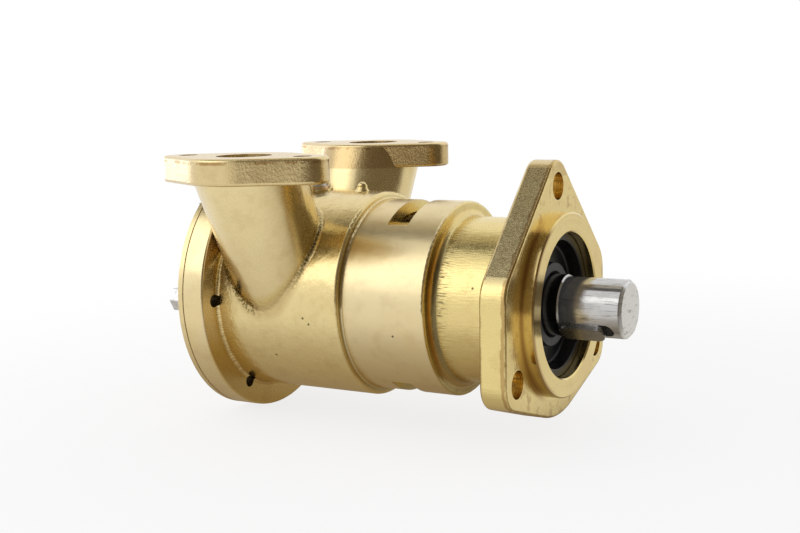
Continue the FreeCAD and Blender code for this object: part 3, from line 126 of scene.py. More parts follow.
# %% Recipe helper
class Recipe:
    """A node tree being written: every method adds a node and returns its output."""

    def __init__(self, tree):
        self.tree = tree
        tree.nodes.clear()

    def add(self, kind, inputs=None, **settings):
        """Add a node, set its options, and link or fill in its inputs by name or number."""
        made = self.tree.nodes.new(kind)
        for name, value in settings.items():
            setattr(made, name, value)
        for key, value in (inputs or {}).items():
            if isinstance(value, bpy.types.NodeSocket):
                self.tree.links.new(value, made.inputs[key])
            else:
                made.inputs[key].default_value = value
        return made

    def math(self, operation, a, b=0.0):
        """One arithmetic step on numbers or sockets."""
        return self.add("ShaderNodeMath", {0: a, 1: b}, operation=operation).outputs[0]

    def plus(self, a, b):
        """Sum of two numbers."""
        return self.math("ADD", a, b)

    def minus(self, a, b):
        """Difference of two numbers."""
        return self.math("SUBTRACT", a, b)

    def times(self, a, b):
        """Product of two numbers."""
        return self.math("MULTIPLY", a, b)

    def rest_of(self, share):
        """What a share leaves of 1."""
        return self.minus(1.0, share)

    def position(self):
        """The point's own place on the piece, in metres."""
        return self.add("ShaderNodeTexCoord").outputs["Object"]

    def split(self, vector):
        """The three numbers of a vector."""
        parts = self.add("ShaderNodeSeparateXYZ", {0: vector})
        return parts.outputs[0], parts.outputs[1], parts.outputs[2]

    def join(self, x, y, z):
        """A vector from three numbers."""
        return self.add("ShaderNodeCombineXYZ", {0: x, 1: y, 2: z}).outputs[0]

    def stretch(self, vector, scale, turn=(0.0, 0.0, 0.0)):
        """The same vector, turned and scaled differently along each axis."""
        inputs = {"Vector": vector, "Rotation": turn, "Scale": scale}
        return self.add("ShaderNodeMapping", inputs).outputs[0]

    def noise(self, vector, scale, detail=3.0, roughness=0.55, distortion=0.0):
        """Cloudy noise from 0 to 1; scale counts the clouds in a metre."""
        inputs = {"Vector": vector, "Scale": scale, "Detail": detail, "Roughness": roughness,
                  "Distortion": distortion}
        return self.add("ShaderNodeTexNoise", inputs).outputs[0]

    def streaky_noise(self, a, scale_a, b, scale_b, detail=2.0, roughness=0.55):
        """Noise over two measures; it is drawn out along the one with the smaller scale."""
        place = self.join(self.times(a, scale_a), self.times(b, scale_b), 0.0)
        return self.noise(place, 1.0, detail, roughness)

    def cells(self, vector, scale):
        """Distance to the nearest of many scattered points."""
        return self.add("ShaderNodeTexVoronoi", {"Vector": vector, "Scale": scale}).outputs["Distance"]

    def fade(self, value, low, high, start=0.0, end=1.0):
        """Smooth change from start to end while the value goes from low to high."""
        inputs = {0: value, 1: low, 2: high, 3: start, 4: end}
        made = self.add("ShaderNodeMapRange", inputs, interpolation_type="SMOOTHSTEP")
        return made.outputs[0]

    def band(self, value, low, high, soft):
        """1 between low and high and 0 outside, with soft edges."""
        rise = self.fade(value, low - soft, low + soft)
        fall = self.fade(value, high - soft, high + soft, 1.0, 0.0)
        return self.times(rise, fall)

    def strip(self, value, place, low, high, soft):
        """1 from place + low to place + high and 0 outside, with soft edges."""
        return self.band(value, place + low, place + high, soft)

    def both(self, *shares):
        """Product of several shares: high only where all of them are."""
        result = shares[0]
        for share in shares[1:]:
            result = self.times(result, share)
        return result

    def either(self, *shares):
        """Largest of several shares."""
        result = shares[0]
        for share in shares[1:]:
            result = self.math("MAXIMUM", result, share)
        return result

    def reach(self, a, b):
        """Distance of a point (a, b) from (0, 0)."""
        return self.math("SQRT", self.plus(self.times(a, a), self.times(b, b)))

    def blend(self, share, a, b):
        """Colour a where the share is 0 and b where it is 1."""
        made = self.add("ShaderNodeMix", {0: share}, data_type="RGBA")
        for socket, value in ((made.inputs[6], a), (made.inputs[7], b)):
            if isinstance(value, bpy.types.NodeSocket):
                self.tree.links.new(value, socket)
            else:
                socket.default_value = (*value[:3], 1.0)
        return made.outputs[2]

    def bump(self, height, distance, strength=1.0, normal=None):
        """Relief from a height pattern; distance is the real depth in metres."""
        inputs = {"Height": height, "Distance": distance, "Strength": strength}
        if normal is not None:
            inputs["Normal"] = normal
        return self.add("ShaderNodeBump", inputs).outputs[0]


def new_finish(name):
    """A fresh material and the recipe that will fill its node tree."""
    material = bpy.data.materials.new(name)
    material.use_nodes = True
    return material, Recipe(material.node_tree)


def finish_with(recipe, settings):
    """End a recipe in a Principled shader with the given sockets."""
    shader = recipe.add("ShaderNodeBsdfPrincipled", settings)
    recipe.add("ShaderNodeOutputMaterial", {"Surface": shader.outputs[0]})


def dress(material, *names):
    """Give a finish to one or more pieces of the pump."""
    for name in names:
        slots = nodes[name].data.materials
        if len(slots) == 0:
            slots.append(material)
        for index in range(len(slots)):
            slots[index] = material
    print(material.name, "on", len(names), "pieces")


# %% [markdown]
# ## Bronze
#
# The casting has been tumbled bright and then machined where it has to fit, so one piece
# carries several finishes. They share a gold base colour and differ in relief: the
# barrel has faint rings from the lathe, the rims of the flanges keep a coarse grain, and
# the necks have the soft unevenness of a polished casting. Object coordinates tell the
# recipe where it is: X gives the station along the shaft and the distance from the shaft
# line gives the radius.

# %% Bronze colours
bronze_yellow = (0.82, 0.665, 0.29)
bronze_pale = (0.82, 0.685, 0.40)
bronze_warm = (0.75, 0.56, 0.25)
# Painted highlight: pale gold on the left of the necks and the top of the engine flange's rim.
highlight_pale = (0.87, 0.77, 0.56)
# Brown for painted shade and painted reflection, and for the casting's random brown mottle.
brown_shade_and_mottle = (0.36, 0.19, 0.055)
# Painted reflection: orange for light bounced about in a shoulder's corner.
reflected_orange = (0.52, 0.27, 0.07)
# Painted shade: olive beads along the crease round each neck's foot.
crease_shade_olive = (0.13, 0.105, 0.030)
# Painted shade in corners and holes, and the colour of tool ticks and pits.
shade_and_mark_dark = (0.035, 0.024, 0.011)

# %% [markdown]
# The map below is the base of the whole finish. It turns a point's place into shares: a
# share is 1 on one part of the casting, 0 elsewhere, and changes over a fraction of a
# millimetre between them. A colour or a relief that belongs to one part is multiplied by
# that part's share.


# %% Round holes
def round_mark(r, where, centre_y, centre_z, size):
    """1 within a given distance of a line parallel to the shaft."""
    distance = r.reach(r.minus(where.y, centre_y), r.minus(where.z, centre_z))
    return r.fade(distance, size - 0.0001, size + 0.0001, 1.0, 0.0)


def ring_of_holes(r, where, circle_radius, turns, hole_radius):
    """1 inside any of the round holes whose centres lie on a circle round the shaft."""
    holes = []
    for turn in turns:
        angle = math.radians(turn)
        centre_y, centre_z = circle_radius * math.cos(angle), circle_radius * math.sin(angle)
        holes.append(round_mark(r, where, centre_y, centre_z, hole_radius))
    return r.either(*holes)


# %% Where the finishes change
class CastingMap:
    """Shares from 0 to 1 that say which part of the casting a point lies on."""

    def __init__(self, r):
        self.place = r.position()
        self.x, self.y, self.z = r.split(self.place)
        self.radius = r.reach(self.y, self.z)
        self.turn = r.math("ARCTAN2", self.z, self.y)
        self.arc = r.times(self.turn, middle_barrel_radius)
        self.map_ports(r)
        self.map_engine_flange(r)
        self.map_barrels(r)

    def map_ports(self, r):
        """The cover flange, and the rims, tops and necks of the two ports."""
        bottom_z = port_face_z - port_flange_thickness
        self.below_ports = r.fade(self.z, bottom_z - 0.0015, bottom_z, 1.0, 0.0)
        self.port_rim = r.band(self.z, bottom_z, port_face_z - 0.0008, 0.0004)
        self.port_top = r.fade(self.z, port_face_z - 0.0006, port_face_z - 0.0002)
        in_flange = r.fade(self.x, cover_flange_back_x - 0.0010, cover_flange_back_x, 1.0, 0.0)
        in_disc = r.fade(self.radius, cover_flange_radius + 0.0004, cover_flange_radius + 0.0010, 1.0, 0.0)
        self.cover_disc = r.both(in_flange, in_disc)
        off_barrel = r.fade(self.radius, chamber_barrel_radius + 0.0012, chamber_barrel_radius + 0.0037)
        behind_ports = r.fade(self.x, port_x + port_reach - 0.002, port_x + port_reach + 0.002, 1.0, 0.0)
        above_foot = r.fade(self.z, neck_foot_z - 0.0014, neck_foot_z + 0.0086)
        self.neck = r.both(off_barrel, behind_ports, above_foot, r.rest_of(self.cover_disc))

    def map_engine_flange(self, r):
        """The rim, the walls of the bolt holes and the machined face of the engine flange."""
        across_rim = r.band(self.x, flange_back_x + 0.0005, flange_face_x - 0.0008, 0.0003)
        outside_register = r.fade(self.radius, register_radius + 0.0005, register_radius + 0.0015)
        holes = ring_of_holes(r, self, bolt_circle_radius, bolt_turns, bolt_hole_radius + 0.0004)
        in_flange = r.fade(self.x, flange_back_x - 0.0006, flange_back_x - 0.0002)
        on_face = r.fade(self.x, flange_face_x - 0.0006, flange_face_x - 0.0002)
        self.bolt_wall = r.both(across_rim, holes)
        self.edge_belt = r.both(outside_register, r.rest_of(holes), in_flange)
        self.engine_rim = r.both(across_rim, outside_register, r.rest_of(self.bolt_wall))
        self.engine_slope = r.both(self.engine_rim, r.fade(self.z, 0.010, 0.018))
        self.machined = r.either(on_face, self.bolt_wall)

    def map_barrels(self, r):
        """The three barrels, without the ports that stand on one of them."""
        front_width = r.band(self.x, front_shoulder_x + 0.0010, flange_back_x, 0.0006)
        middle_width = r.band(self.x, rear_shoulder_x, front_shoulder_x, 0.0004)
        chamber_width = r.band(self.x, cover_flange_back_x, rear_shoulder_x, 0.0006)
        on_front = r.fade(self.radius, front_barrel_radius - 0.0009, front_barrel_radius - 0.0004)
        on_middle = r.fade(self.radius, middle_barrel_radius - 0.0008, middle_barrel_radius - 0.0004)
        on_chamber = r.strip(self.radius, chamber_barrel_radius, -0.0008, 0.0010, 0.0004)
        self.front_barrel = r.both(front_width, on_front, self.below_ports)
        self.middle_barrel = r.both(middle_width, on_middle, self.below_ports)
        self.chamber_barrel = r.both(chamber_width, on_chamber, self.below_ports)


# %% [markdown]
# Shade gathers in corners, and here it is painted into the colour. Where a neck meets
# the barrel there is no single station or radius to hold on to, so the corner is found
# from two distances: one to the leaning neck and one to the barrel. Both are nothing exactly in the corner.


# %% Corners of the necks
def neck_gap(r, where):
    """Distance to the corner where a neck meets the barrel.

    A level cut of a neck is a circle whose centre and radius grow with height, so the gap
    to the neck is the level distance from that centre less that radius. The distance to
    the corner is the larger of this gap and the barrel's own gap.
    """
    height = r.minus(where.z, neck_foot_z)
    centre_y = r.plus(r.times(height, neck_lean), neck_foot_y)
    neck_radius = r.plus(r.times(height, neck_taper), neck_foot_radius)
    across = r.minus(r.math("ABSOLUTE", where.y), centre_y)
    along = r.minus(where.x, port_x)
    to_neck = r.math("ABSOLUTE", r.minus(r.reach(across, along), neck_radius))
    to_barrel = r.math("ABSOLUTE", r.minus(where.radius, chamber_barrel_radius))
    return r.either(to_neck, to_barrel)


def neck_corner(r, where):
    """Shares of the painted shade in the fillet round a neck's foot and of the beaded line of painted shade
    along its crease.
    """
    gap = neck_gap(r, where)
    above_foot = r.fade(where.z, -0.008, -0.003)
    # Painted shade: the fillet's share browns the corner.
    fillet = r.both(r.fade(gap, 0.0006, 0.0034, 1.0, 0.0), above_foot)
    beads = r.fade(r.cells(where.place, 1300.0), 0.46, 0.62, 1.0, 0.1)
    high = r.fade(where.z, 0.002, 0.016)
    cover_side = r.both(r.fade(where.z, -0.010, 0.0), r.fade(where.x, port_x - 0.004, port_x, 1.0, 0.0))
    # Painted shade: a beaded line along the crease, high up and on the cover's side.
    line = r.both(r.fade(gap, 0.0007, 0.0019, 1.0, 0.0), above_foot, beads, r.either(high, cover_side))
    return fillet, line


# %% Corner and holes of the cover flange
def cover_root(r, where):
    """Shares of the brown ticks of painted shade and of the roughness in the corner before the cover flange.
    """
    ticks = r.streaky_noise(where.x, 250.0, where.arc, 2600.0)
    strip = r.both(r.fade(where.x, cover_flange_back_x - 0.0004, cover_flange_back_x),
                   r.fade(where.x, cover_flange_back_x + 0.0008, cover_flange_back_x + 0.0045, 1.0, 0.0))
    brown_height = r.strip(where.radius, chamber_barrel_radius, -0.0008, 0.0014, 0.0003)
    rough_height = r.strip(where.radius, chamber_barrel_radius, -0.0008, 0.0017, 0.0003)
    rough_strip = r.strip(where.x, cover_flange_back_x, 0.0, 0.006, 0.001)
    # Painted shade: brown ticks in the corner.
    brown = r.both(strip, brown_height, where.below_ports, r.fade(ticks, 0.36, 0.62))
    return brown, r.both(rough_strip, rough_height, where.below_ports)


def cover_hole_shade(r, where):
    """Painted shade in the six drilled ends of the cover screws' holes."""
    holes = ring_of_holes(r, where, cover_screw_circle, cover_screw_turns, cover_hole_radius)
    return r.both(holes, r.strip(where.x, cover_flange_back_x, -0.0071, 0.0016, 0.0001))


# %% [markdown]
# The tool leaves short ticks beside the front shoulder. They are noise that is fine round
# the shaft and long along it: the angle about the shaft, times a radius, takes the place
# of the Y coordinate. Each shoulder also has a thin line of painted shade in its corner,
# which fades out on top, and the front shoulder's face a band of painted orange reflection.


# %% Bronze shoulders
def shoulder_lines(r, where):
    """Shares of painted orange reflection and painted dark shade in the corners of the two shoulders, and of
    dark tool ticks in front of one.
    """
    # The painted shade and reflection fade out high up and weaken low down.
    facing = r.both(r.fade(where.z, 0.014, 0.028, 1.0, 0.12), r.fade(where.z, -0.030, -0.008, 0.45, 1.0))
    ticks = r.streaky_noise(where.x, 240.0, where.arc, 1900.0)
    ragged = r.plus(where.radius, r.fade(ticks, 0.3, 0.7, -0.00025, 0.00025))
    above = front_barrel_radius

    step = r.strip(where.x, front_shoulder_x, -0.0012, 0.0028, 0.0003)
    # Painted reflection: an orange band on the front shoulder's face.
    orange = r.both(step, r.strip(ragged, above, 0.0008, 0.0032, 0.0004), facing)
    # Painted shade: dark lines on the front shoulder's face and in its corner, and in the rear shoulder's
    # corner.
    rim_line = r.both(step, r.strip(where.radius, above, 0.0032, 0.0041, 0.0004), facing)
    corner_line = r.both(r.strip(where.x, front_shoulder_x, 0.0004, 0.0024, 0.0004),
                         r.strip(ragged, above, -0.0004, 0.0009, 0.0003), facing)
    comb_strip = r.both(r.fade(where.x, front_shoulder_x + 0.0014, front_shoulder_x + 0.0024),
                        r.fade(where.x, front_shoulder_x + 0.0034, front_shoulder_x + 0.0085, 1.0, 0.0),
                        r.fade(where.radius, above - 0.0004, above - 0.0001), where.below_ports)
    comb = r.both(comb_strip, r.fade(ticks, 0.52, 0.62), r.fade(where.z, -0.012, 0.004, 0.15, 1.0),
                  r.fade(where.z, 0.024, 0.031, 1.0, 0.25))
    rear_line = r.both(r.strip(where.x, rear_shoulder_x, -0.0008, 0.0008, 0.0004),
                       r.strip(where.radius, middle_barrel_radius, 0.0, 0.0014, 0.0005), facing)
    # Painted shade from the lines, with the dark tool ticks of the comb.
    dark = r.either(r.times(rim_line, 0.6), r.times(corner_line, 0.80), r.times(comb, 0.85),
                    r.times(rear_line, 0.45))
    return r.times(orange, 0.85), dark, ticks, comb_strip


# %% Bronze pits
pit_places_mm = ((-19.8, -29.0, 9.1), (-83.7, -38.5, -4.2), (-81.4, -38.3, -6.3), (-99.5, -33.2, -20.0),
                 (-48.4, -34.9, -8.8))


def pit_marks(r, where):
    """A few single pits in the barrel; each is a dark ball about a millimetre wide."""
    shares = []
    for place_mm in pit_places_mm:
        centre = tuple(number / 1000 for number in place_mm)
        shifted = r.add("ShaderNodeVectorMath", {0: where.place, 1: centre}, operation="SUBTRACT").outputs[0]
        length = r.add("ShaderNodeVectorMath", {0: shifted}, operation="LENGTH").outputs["Value"]
        shares.append(r.fade(length, 0.0003, 0.0006, 1.0, 0.0))
    return r.either(*shares)


# %% Bronze painted shade on the flanges
def flange_shade_and_edges(r, where, mottle):
    """Brown: painted reflection of the register's wall at its root, painted shade in its chamfer and on the
    cover flange's back edge, and brown on the engine flange's edges.
    """
    left = r.fade(where.y, -0.020, -0.010, 1.0, 0.0)
    on_face = r.both(r.fade(where.x, flange_face_x - 0.0006, flange_face_x - 0.0002),
                     r.fade(where.x, flange_face_x + 0.0002, flange_face_x + 0.0006, 1.0, 0.0))
    # Painted reflection of the register wall's dark side, on the left only.
    root = r.both(on_face, r.strip(where.radius, register_radius, -0.0004, 0.0022, 0.0010), left)
    # Painted shade in the register's chamfer, on the left only.
    chamfer = r.both(r.fade(where.x, register_face_x - 0.0008, register_face_x - 0.0004),
                     r.strip(where.radius, register_radius, -0.0014, 0.0004, 0.0003), left)
    ragged = r.plus(where.x, r.fade(mottle, 0.3, 0.7, -0.0005, 0.0005))
    front_edge = r.both(r.strip(ragged, flange_face_x, -0.0017, -0.0003, 0.0003), where.edge_belt)
    back_edge = r.both(r.strip(ragged, flange_back_x, -0.0002, 0.0009, 0.0003), where.edge_belt)
    # Painted shade on the cover flange's back edge.
    cover_face = r.band(where.radius, chamber_barrel_radius + 0.0008, cover_flange_radius + 0.0006, 0.0004)
    cover_edge = r.both(r.strip(where.x, cover_flange_back_x, -0.0004, 0.0004, 0.0002), cover_face)
    return r.either(r.times(root, 0.65), r.times(chamfer, 0.55), r.times(front_edge, 0.60),
                    r.times(back_edge, 0.40), r.times(cover_edge, 0.30))


# %% [markdown]
# Bump nodes are chained: each takes the normal of the one before it and adds a height
# pattern of its own. The distance of a bump is its real depth in metres, from a
# millimetre for the casting's slow waves to a few hundredths for tool marks, and its
# strength is the share of the part that the pattern belongs to.


# %% Bronze relief
def bronze_relief(r, where, grain):
    """Height patterns of the casting, one on top of another."""
    waves = r.noise(where.place, 60.0, 2.0, 0.5)
    dimples = r.noise(where.place, 330.0, 2.0, 0.5)
    lathe = r.streaky_noise(where.x, 2600.0, where.arc, 50.0)
    strokes = r.streaky_noise(where.x, 220.0, where.arc, 1100.0)
    pebble = r.noise(r.stretch(where.place, (1300.0, 1300.0, 1000.0), (0.5, 0.4, 0.3)), 1.0, 2.0, 0.6)
    file_marks = r.noise(r.stretch(where.place, (160.0, 900.0, 2400.0)), 1.0, 2.0, 0.6)
    drill_marks = r.noise(r.join(r.times(where.x, 900.0), 0.0, 0.0), 1.0, 2.0)
    turning = r.streaky_noise(where.radius, 2600.0, where.turn, 1.5)
    pebbled = r.either(r.times(where.port_rim, 0.34), r.times(where.engine_slope, 0.20))
    flat_rim = r.minus(where.engine_rim, where.engine_slope)

    relief = r.bump(waves, 0.0010, r.fade(where.machined, 0.0, 1.0, 0.35, 0.0))
    relief = r.bump(dimples, 0.00035, r.times(where.chamber_barrel, 0.32), relief)
    relief = r.bump(lathe, 0.00007, r.times(where.middle_barrel, 0.45), relief)
    relief = r.bump(strokes, 0.00015, r.times(where.front_barrel, 0.50), relief)
    relief = r.bump(pebble, 0.00025, pebbled, relief)
    relief = r.bump(file_marks, 0.00012, r.times(flat_rim, 0.60), relief)
    relief = r.bump(drill_marks, 0.00010, r.times(where.bolt_wall, 0.4), relief)
    relief = r.bump(turning, 0.00008, r.times(where.machined, 0.60), relief)
    return r.bump(grain, 0.00004, r.fade(where.machined, 0.0, 1.0, 0.06, 0.01), relief)


# %% Clean bronze
def clean_bronze(r, where, mottle):
    """Gold that is paler on the barrels and the necks and warmer in clouds and in turned rings, with a
    painted highlight on the left of the necks and on the upper slope of the engine flange's rim.
    """
    paleness = r.either(where.middle_barrel, r.times(where.chamber_barrel, 0.45),
                        r.times(where.cover_disc, 0.9), r.times(where.neck, 0.75))
    cloud = r.noise(where.place, 26.0, 4.0, 0.6)
    neck_left_highlight = r.both(where.neck, r.fade(where.x, port_x - 0.016, port_x - 0.002, 1.0, 0.0))
    rings = r.streaky_noise(where.radius, 1500.0, where.turn, 1.0)
    turned = r.both(where.machined, r.fade(rings, 0.42, 0.66, 0.0, 0.55))

    tint = r.blend(paleness, bronze_yellow, bronze_pale)
    tint = r.blend(r.fade(cloud, 0.40, 0.75, 0.0, 0.55), tint, bronze_warm)
    tint = r.blend(r.fade(mottle, 0.48, 0.70, 0.0, 0.12), tint, brown_shade_and_mottle)
    # Painted highlight on the necks' left and on the upper slope of the engine flange's rim.
    tint = r.blend(r.times(neck_left_highlight, 0.65), tint, highlight_pale)
    tint = r.blend(r.times(where.engine_slope, 0.35), tint, highlight_pale)
    tint = r.blend(turned, tint, bronze_warm)
    return r.blend(r.times(where.port_top, 0.8), tint, bronze_warm)


# %% Bronze casting
def bronze_casting():
    """Gold-coloured bronze with lathe rings, pebbled rims, and painted shade and reflection in its corners
    and holes.
    """
    material, r = new_finish("cast_bronze")
    where = CastingMap(r)
    grain = r.noise(where.place, 900.0, 3.0, 0.6)
    mottle = r.noise(where.place, 170.0, 3.0, 0.6)
    fillet, crease_shade = neck_corner(r, where)
    root_shade, root_rough = cover_root(r, where)
    orange, dark, ticks, comb_strip = shoulder_lines(r, where)
    # Painted shade: a dark line just under the top of each port rim.
    rim_top_shade = r.both(r.strip(where.z, port_face_z, -0.0022, -0.0010, 0.0004), where.port_rim,
                      r.fade(mottle, 0.35, 0.60))
    # Painted shade: the port rims are browner on their far side.
    rim_shade = r.times(where.port_rim, r.fade(where.y, -0.010, 0.010, 0.20, 0.45))

    # Painted shade in brown: neck fillets, the corner before the cover flange, under the port tops, the bolt
    # holes' walls and the far port rims, with the flange browns.
    brown = r.either(r.times(fillet, 0.35), r.times(root_shade, 0.55), r.times(rim_top_shade, 0.80),
                     r.times(where.bolt_wall, 0.30), rim_shade, flange_shade_and_edges(r, where, mottle))
    # Painted shade from the shoulder lines and the cover's screw holes, with the tool ticks and the pits.
    shade_ticks_and_pits = r.either(dark, cover_hole_shade(r, where), r.times(pit_marks(r, where), 0.85))
    tint = r.blend(brown, clean_bronze(r, where, mottle), brown_shade_and_mottle)
    # Painted reflection: orange on the front shoulder.
    tint = r.blend(orange, tint, reflected_orange)
    # Painted shade: olive beads in the creases round the necks.
    tint = r.blend(r.times(crease_shade, 0.85), tint, crease_shade_olive)
    tint = r.blend(r.times(shade_ticks_and_pits, 0.93), tint, shade_and_mark_dark)

    lumps = r.noise(where.place, 620.0, 2.0, 0.6)
    relief = bronze_relief(r, where, grain)
    relief = r.bump(ticks, 0.00018, r.times(comb_strip, 0.5), relief)
    relief = r.bump(lumps, 0.00040, r.either(r.times(fillet, 0.45), r.times(root_rough, 0.25)), relief)

    polished = r.minus(r.fade(grain, 0.3, 0.7, 0.22, 0.28), r.times(where.machined, 0.07))
    satin = r.either(shade_ticks_and_pits, orange, r.times(where.middle_barrel, 0.4))
    roughness = r.plus(polished, r.times(satin, 0.15))
    finish_with(r, {"Base Color": tint, "Metallic": 1.0, "Roughness": roughness, "Normal": relief})
    return material


dress(bronze_casting(), "pump_body")

# %% [markdown]
# ## Steel and brass
#
# The shaft is turned and ground stainless steel. Fine rings round the shaft come from
# noise that is squeezed along X, dark streaks of painted reflection run along it, and a
# few scuffs from assembly make it look handled. The cover is turned brass in the casting's own colour.
# One recipe serves every small turned piece, with its own colour and roughness.


# %% Turned metal
def turned_metal(name, colour, roughness, ring_depth, worn=0.72):
    """Bright metal with fine rings across X and soft scuffs."""
    material, r = new_finish(name)
    place = r.position()
    rings = r.noise(r.stretch(place, (4200.0, 60.0, 60.0)), 1.0, 2.0, 0.5)
    scuff = r.noise(place, 240.0, 4.0, 0.7, 0.6)
    tint = r.blend(r.fade(scuff, 0.45, 0.75), colour, tuple(c * worn for c in colour))
    relief = r.bump(rings, ring_depth, 0.5)
    relief = r.bump(scuff, 0.00004, 0.4, relief)
    rough = r.fade(scuff, 0.35, 0.75, roughness, roughness + 0.12)
    finish_with(r, {"Base Color": tint, "Metallic": 1.0, "Roughness": rough, "Normal": relief})
    return material


dress(turned_metal("cover_brass", (0.80, 0.65, 0.35), 0.26, 0.00003, 0.90), "end_cover")
dress(turned_metal("bearing_steel", (0.72, 0.72, 0.71), 0.16, 0.00001), "front_outer_race",
      "front_inner_race", "front_balls", "rear_outer_race", "rear_inner_race", "rear_balls", "race_spacer")
dress(turned_metal("spring_steel", (0.30, 0.30, 0.31), 0.35, 0.00001), "bearing_circlip",
      "shaft_circlip", "garter_spring", "seal_spring")
dress(turned_metal("cage_steel", (0.56, 0.53, 0.46), 0.35, 0.00001), "front_cage", "rear_cage")
dress(turned_metal("inner_brass", (0.80, 0.62, 0.34), 0.28, 0.00002), "wear_plate", "cam",
      "impeller_insert")
dress(turned_metal("washer_copper", (0.82, 0.60, 0.38), 0.35, 0.00001), "cam_washer")
dress(turned_metal("key_steel", (0.44, 0.44, 0.44), 0.24, 0.00002), "drive_key", "impeller_key")

# %% Steel colours
screw_pale = (0.74, 0.73, 0.73)
screw_worn = (0.55, 0.54, 0.53)
shaft_grey = (0.58, 0.57, 0.555)
shaft_cloud = (0.50, 0.49, 0.475)
# Dark of the painted reflection streaks and of the scuffs on the end face.
shaft_streak_and_scuff_dark = (0.20, 0.19, 0.18)
shaft_end_grey = (0.72, 0.72, 0.72)


# %% Screw steel
def screw_steel():
    """Pale steel; the screw ends that show in the flange's drilled holes are darkened with painted shade."""
    material, r = new_finish("screw_steel")
    place = r.position()
    x, _, z = r.split(place)
    scuff = r.noise(place, 500.0, 4.0, 0.65)
    screw_end = r.fade(x, cover_flange_back_x - 0.0043, cover_flange_back_x - 0.0037)
    below_cam_screw = r.fade(z, 0.036, 0.038, 1.0, 0.0)
    buried = r.both(screw_end, below_cam_screw)
    tint = r.blend(r.fade(scuff, 0.4, 0.75), screw_pale, screw_worn)
    # Painted shade on the screw ends inside their holes.
    tint = r.blend(buried, tint, shade_and_mark_dark)
    relief = r.bump(scuff, 0.00003, 0.4)
    shine = r.rest_of(r.times(buried, 0.9))
    rough = r.fade(scuff, 0.3, 0.7, 0.26, 0.4)
    finish_with(r, {"Base Color": tint, "Metallic": shine, "Roughness": rough, "Normal": relief})
    return material


dress(screw_steel(), "cover_screws", "cam_screw")

# %% Shaft landmarks
shaft_end_radius = 0.0104
shaft_end_face_x = drawing_box[1][0]
seal_land_end_x = 0.0038


# %% Shaft steel
def shaft_steel():
    """Ground steel with rings, dark streaks of painted reflection along the drive end and scuffs on the end
    face.

    The drive end is slightly dull, so its metal share is under 1 beyond the seal's land.
    """
    material, r = new_finish("shaft_steel")
    place = r.position()
    x, y, z = r.split(place)
    arc = r.times(r.math("ARCTAN2", z, y), shaft_end_radius)
    rings = r.noise(r.stretch(place, (5200.0, 90.0, 90.0)), 1.0, 2.0, 0.5)
    cloud = r.noise(place, 170.0, 4.0, 0.65, 0.8)
    streaks = r.streaky_noise(x, 110.0, arc, 1500.0, 3.0, 0.6)
    rubs = r.noise(r.stretch(place, (200.0, 260.0, 900.0), (0.9, 0.0, 0.0)), 1.0, 3.0, 0.6, 0.5)
    on_end = r.fade(x, shaft_end_face_x - 0.0009, shaft_end_face_x - 0.0005)
    marks = r.both(on_end, r.fade(rubs, 0.56, 0.66))

    tint = r.blend(r.fade(cloud, 0.42, 0.72), shaft_grey, shaft_cloud)
    # Painted reflection: dark streaks along the shaft.
    tint = r.blend(r.fade(streaks, 0.55, 0.69, 0.0, 0.75), tint, shaft_streak_and_scuff_dark)
    tint = r.blend(on_end, tint, shaft_end_grey)
    tint = r.blend(r.times(marks, 0.6), tint, shaft_streak_and_scuff_dark)
    relief = r.bump(rings, 0.00002, 0.4)
    relief = r.bump(cloud, 0.00003, 0.25, relief)
    relief = r.bump(rubs, 0.00010, r.times(on_end, 0.5), relief)
    rough = r.plus(r.fade(cloud, 0.35, 0.75, 0.09, 0.15), r.times(on_end, 0.16))
    shine = r.fade(x, seal_land_end_x - 0.0004, seal_land_end_x, 1.0, 0.88)
    finish_with(r, {"Base Color": tint, "Metallic": shine, "Roughness": rough, "Normal": relief})
    return material


dress(shaft_steel(), "shaft")

# %% [markdown]
# ## Taller screw heads
#
# The cover's screws have tall hexagon heads that reach past the cover's edge. A head is a
# six-sided ring of points carried along the screw and drawn in a little at its crown. The
# six heads are one array: the ring, turned about each screw and moved to its place. A
# Bevel modifier rounds their edges.

# %% Screw head sizes
screw_head_height = 0.0070
screw_head_flats = 0.0083
screw_head_sunk = 0.0002
crown_height = 0.0006
crown_share = 0.86
edge_round = 0.00025


# %% Screw heads
def head_points():
    """Corners of the six heads, as an array of screw, station, corner and coordinate.

    Point (station, corner) of a head lies at the station's X, and at the station's radius
    from the screw's line, in the direction 60 degrees times the corner.
    """
    crown_start = crown_height - screw_head_height
    stations = cover_low[0] + np.array([screw_head_sunk, crown_start, -screw_head_height])
    reach = np.array([1.0, 1.0, crown_share]) * screw_head_flats / 2 / math.cos(math.radians(30))
    corner = np.radians(60 * np.arange(6))[None, None, :]
    screw = np.radians(cover_screw_turns)[:, None, None]
    y = cover_screw_circle * np.cos(screw) + reach[None, :, None] * np.cos(corner + screw)
    z = cover_screw_circle * np.sin(screw) + reach[None, :, None] * np.sin(corner + screw)
    x = np.broadcast_to(stations[None, :, None], y.shape)
    return np.stack([x, y, z], axis=-1)


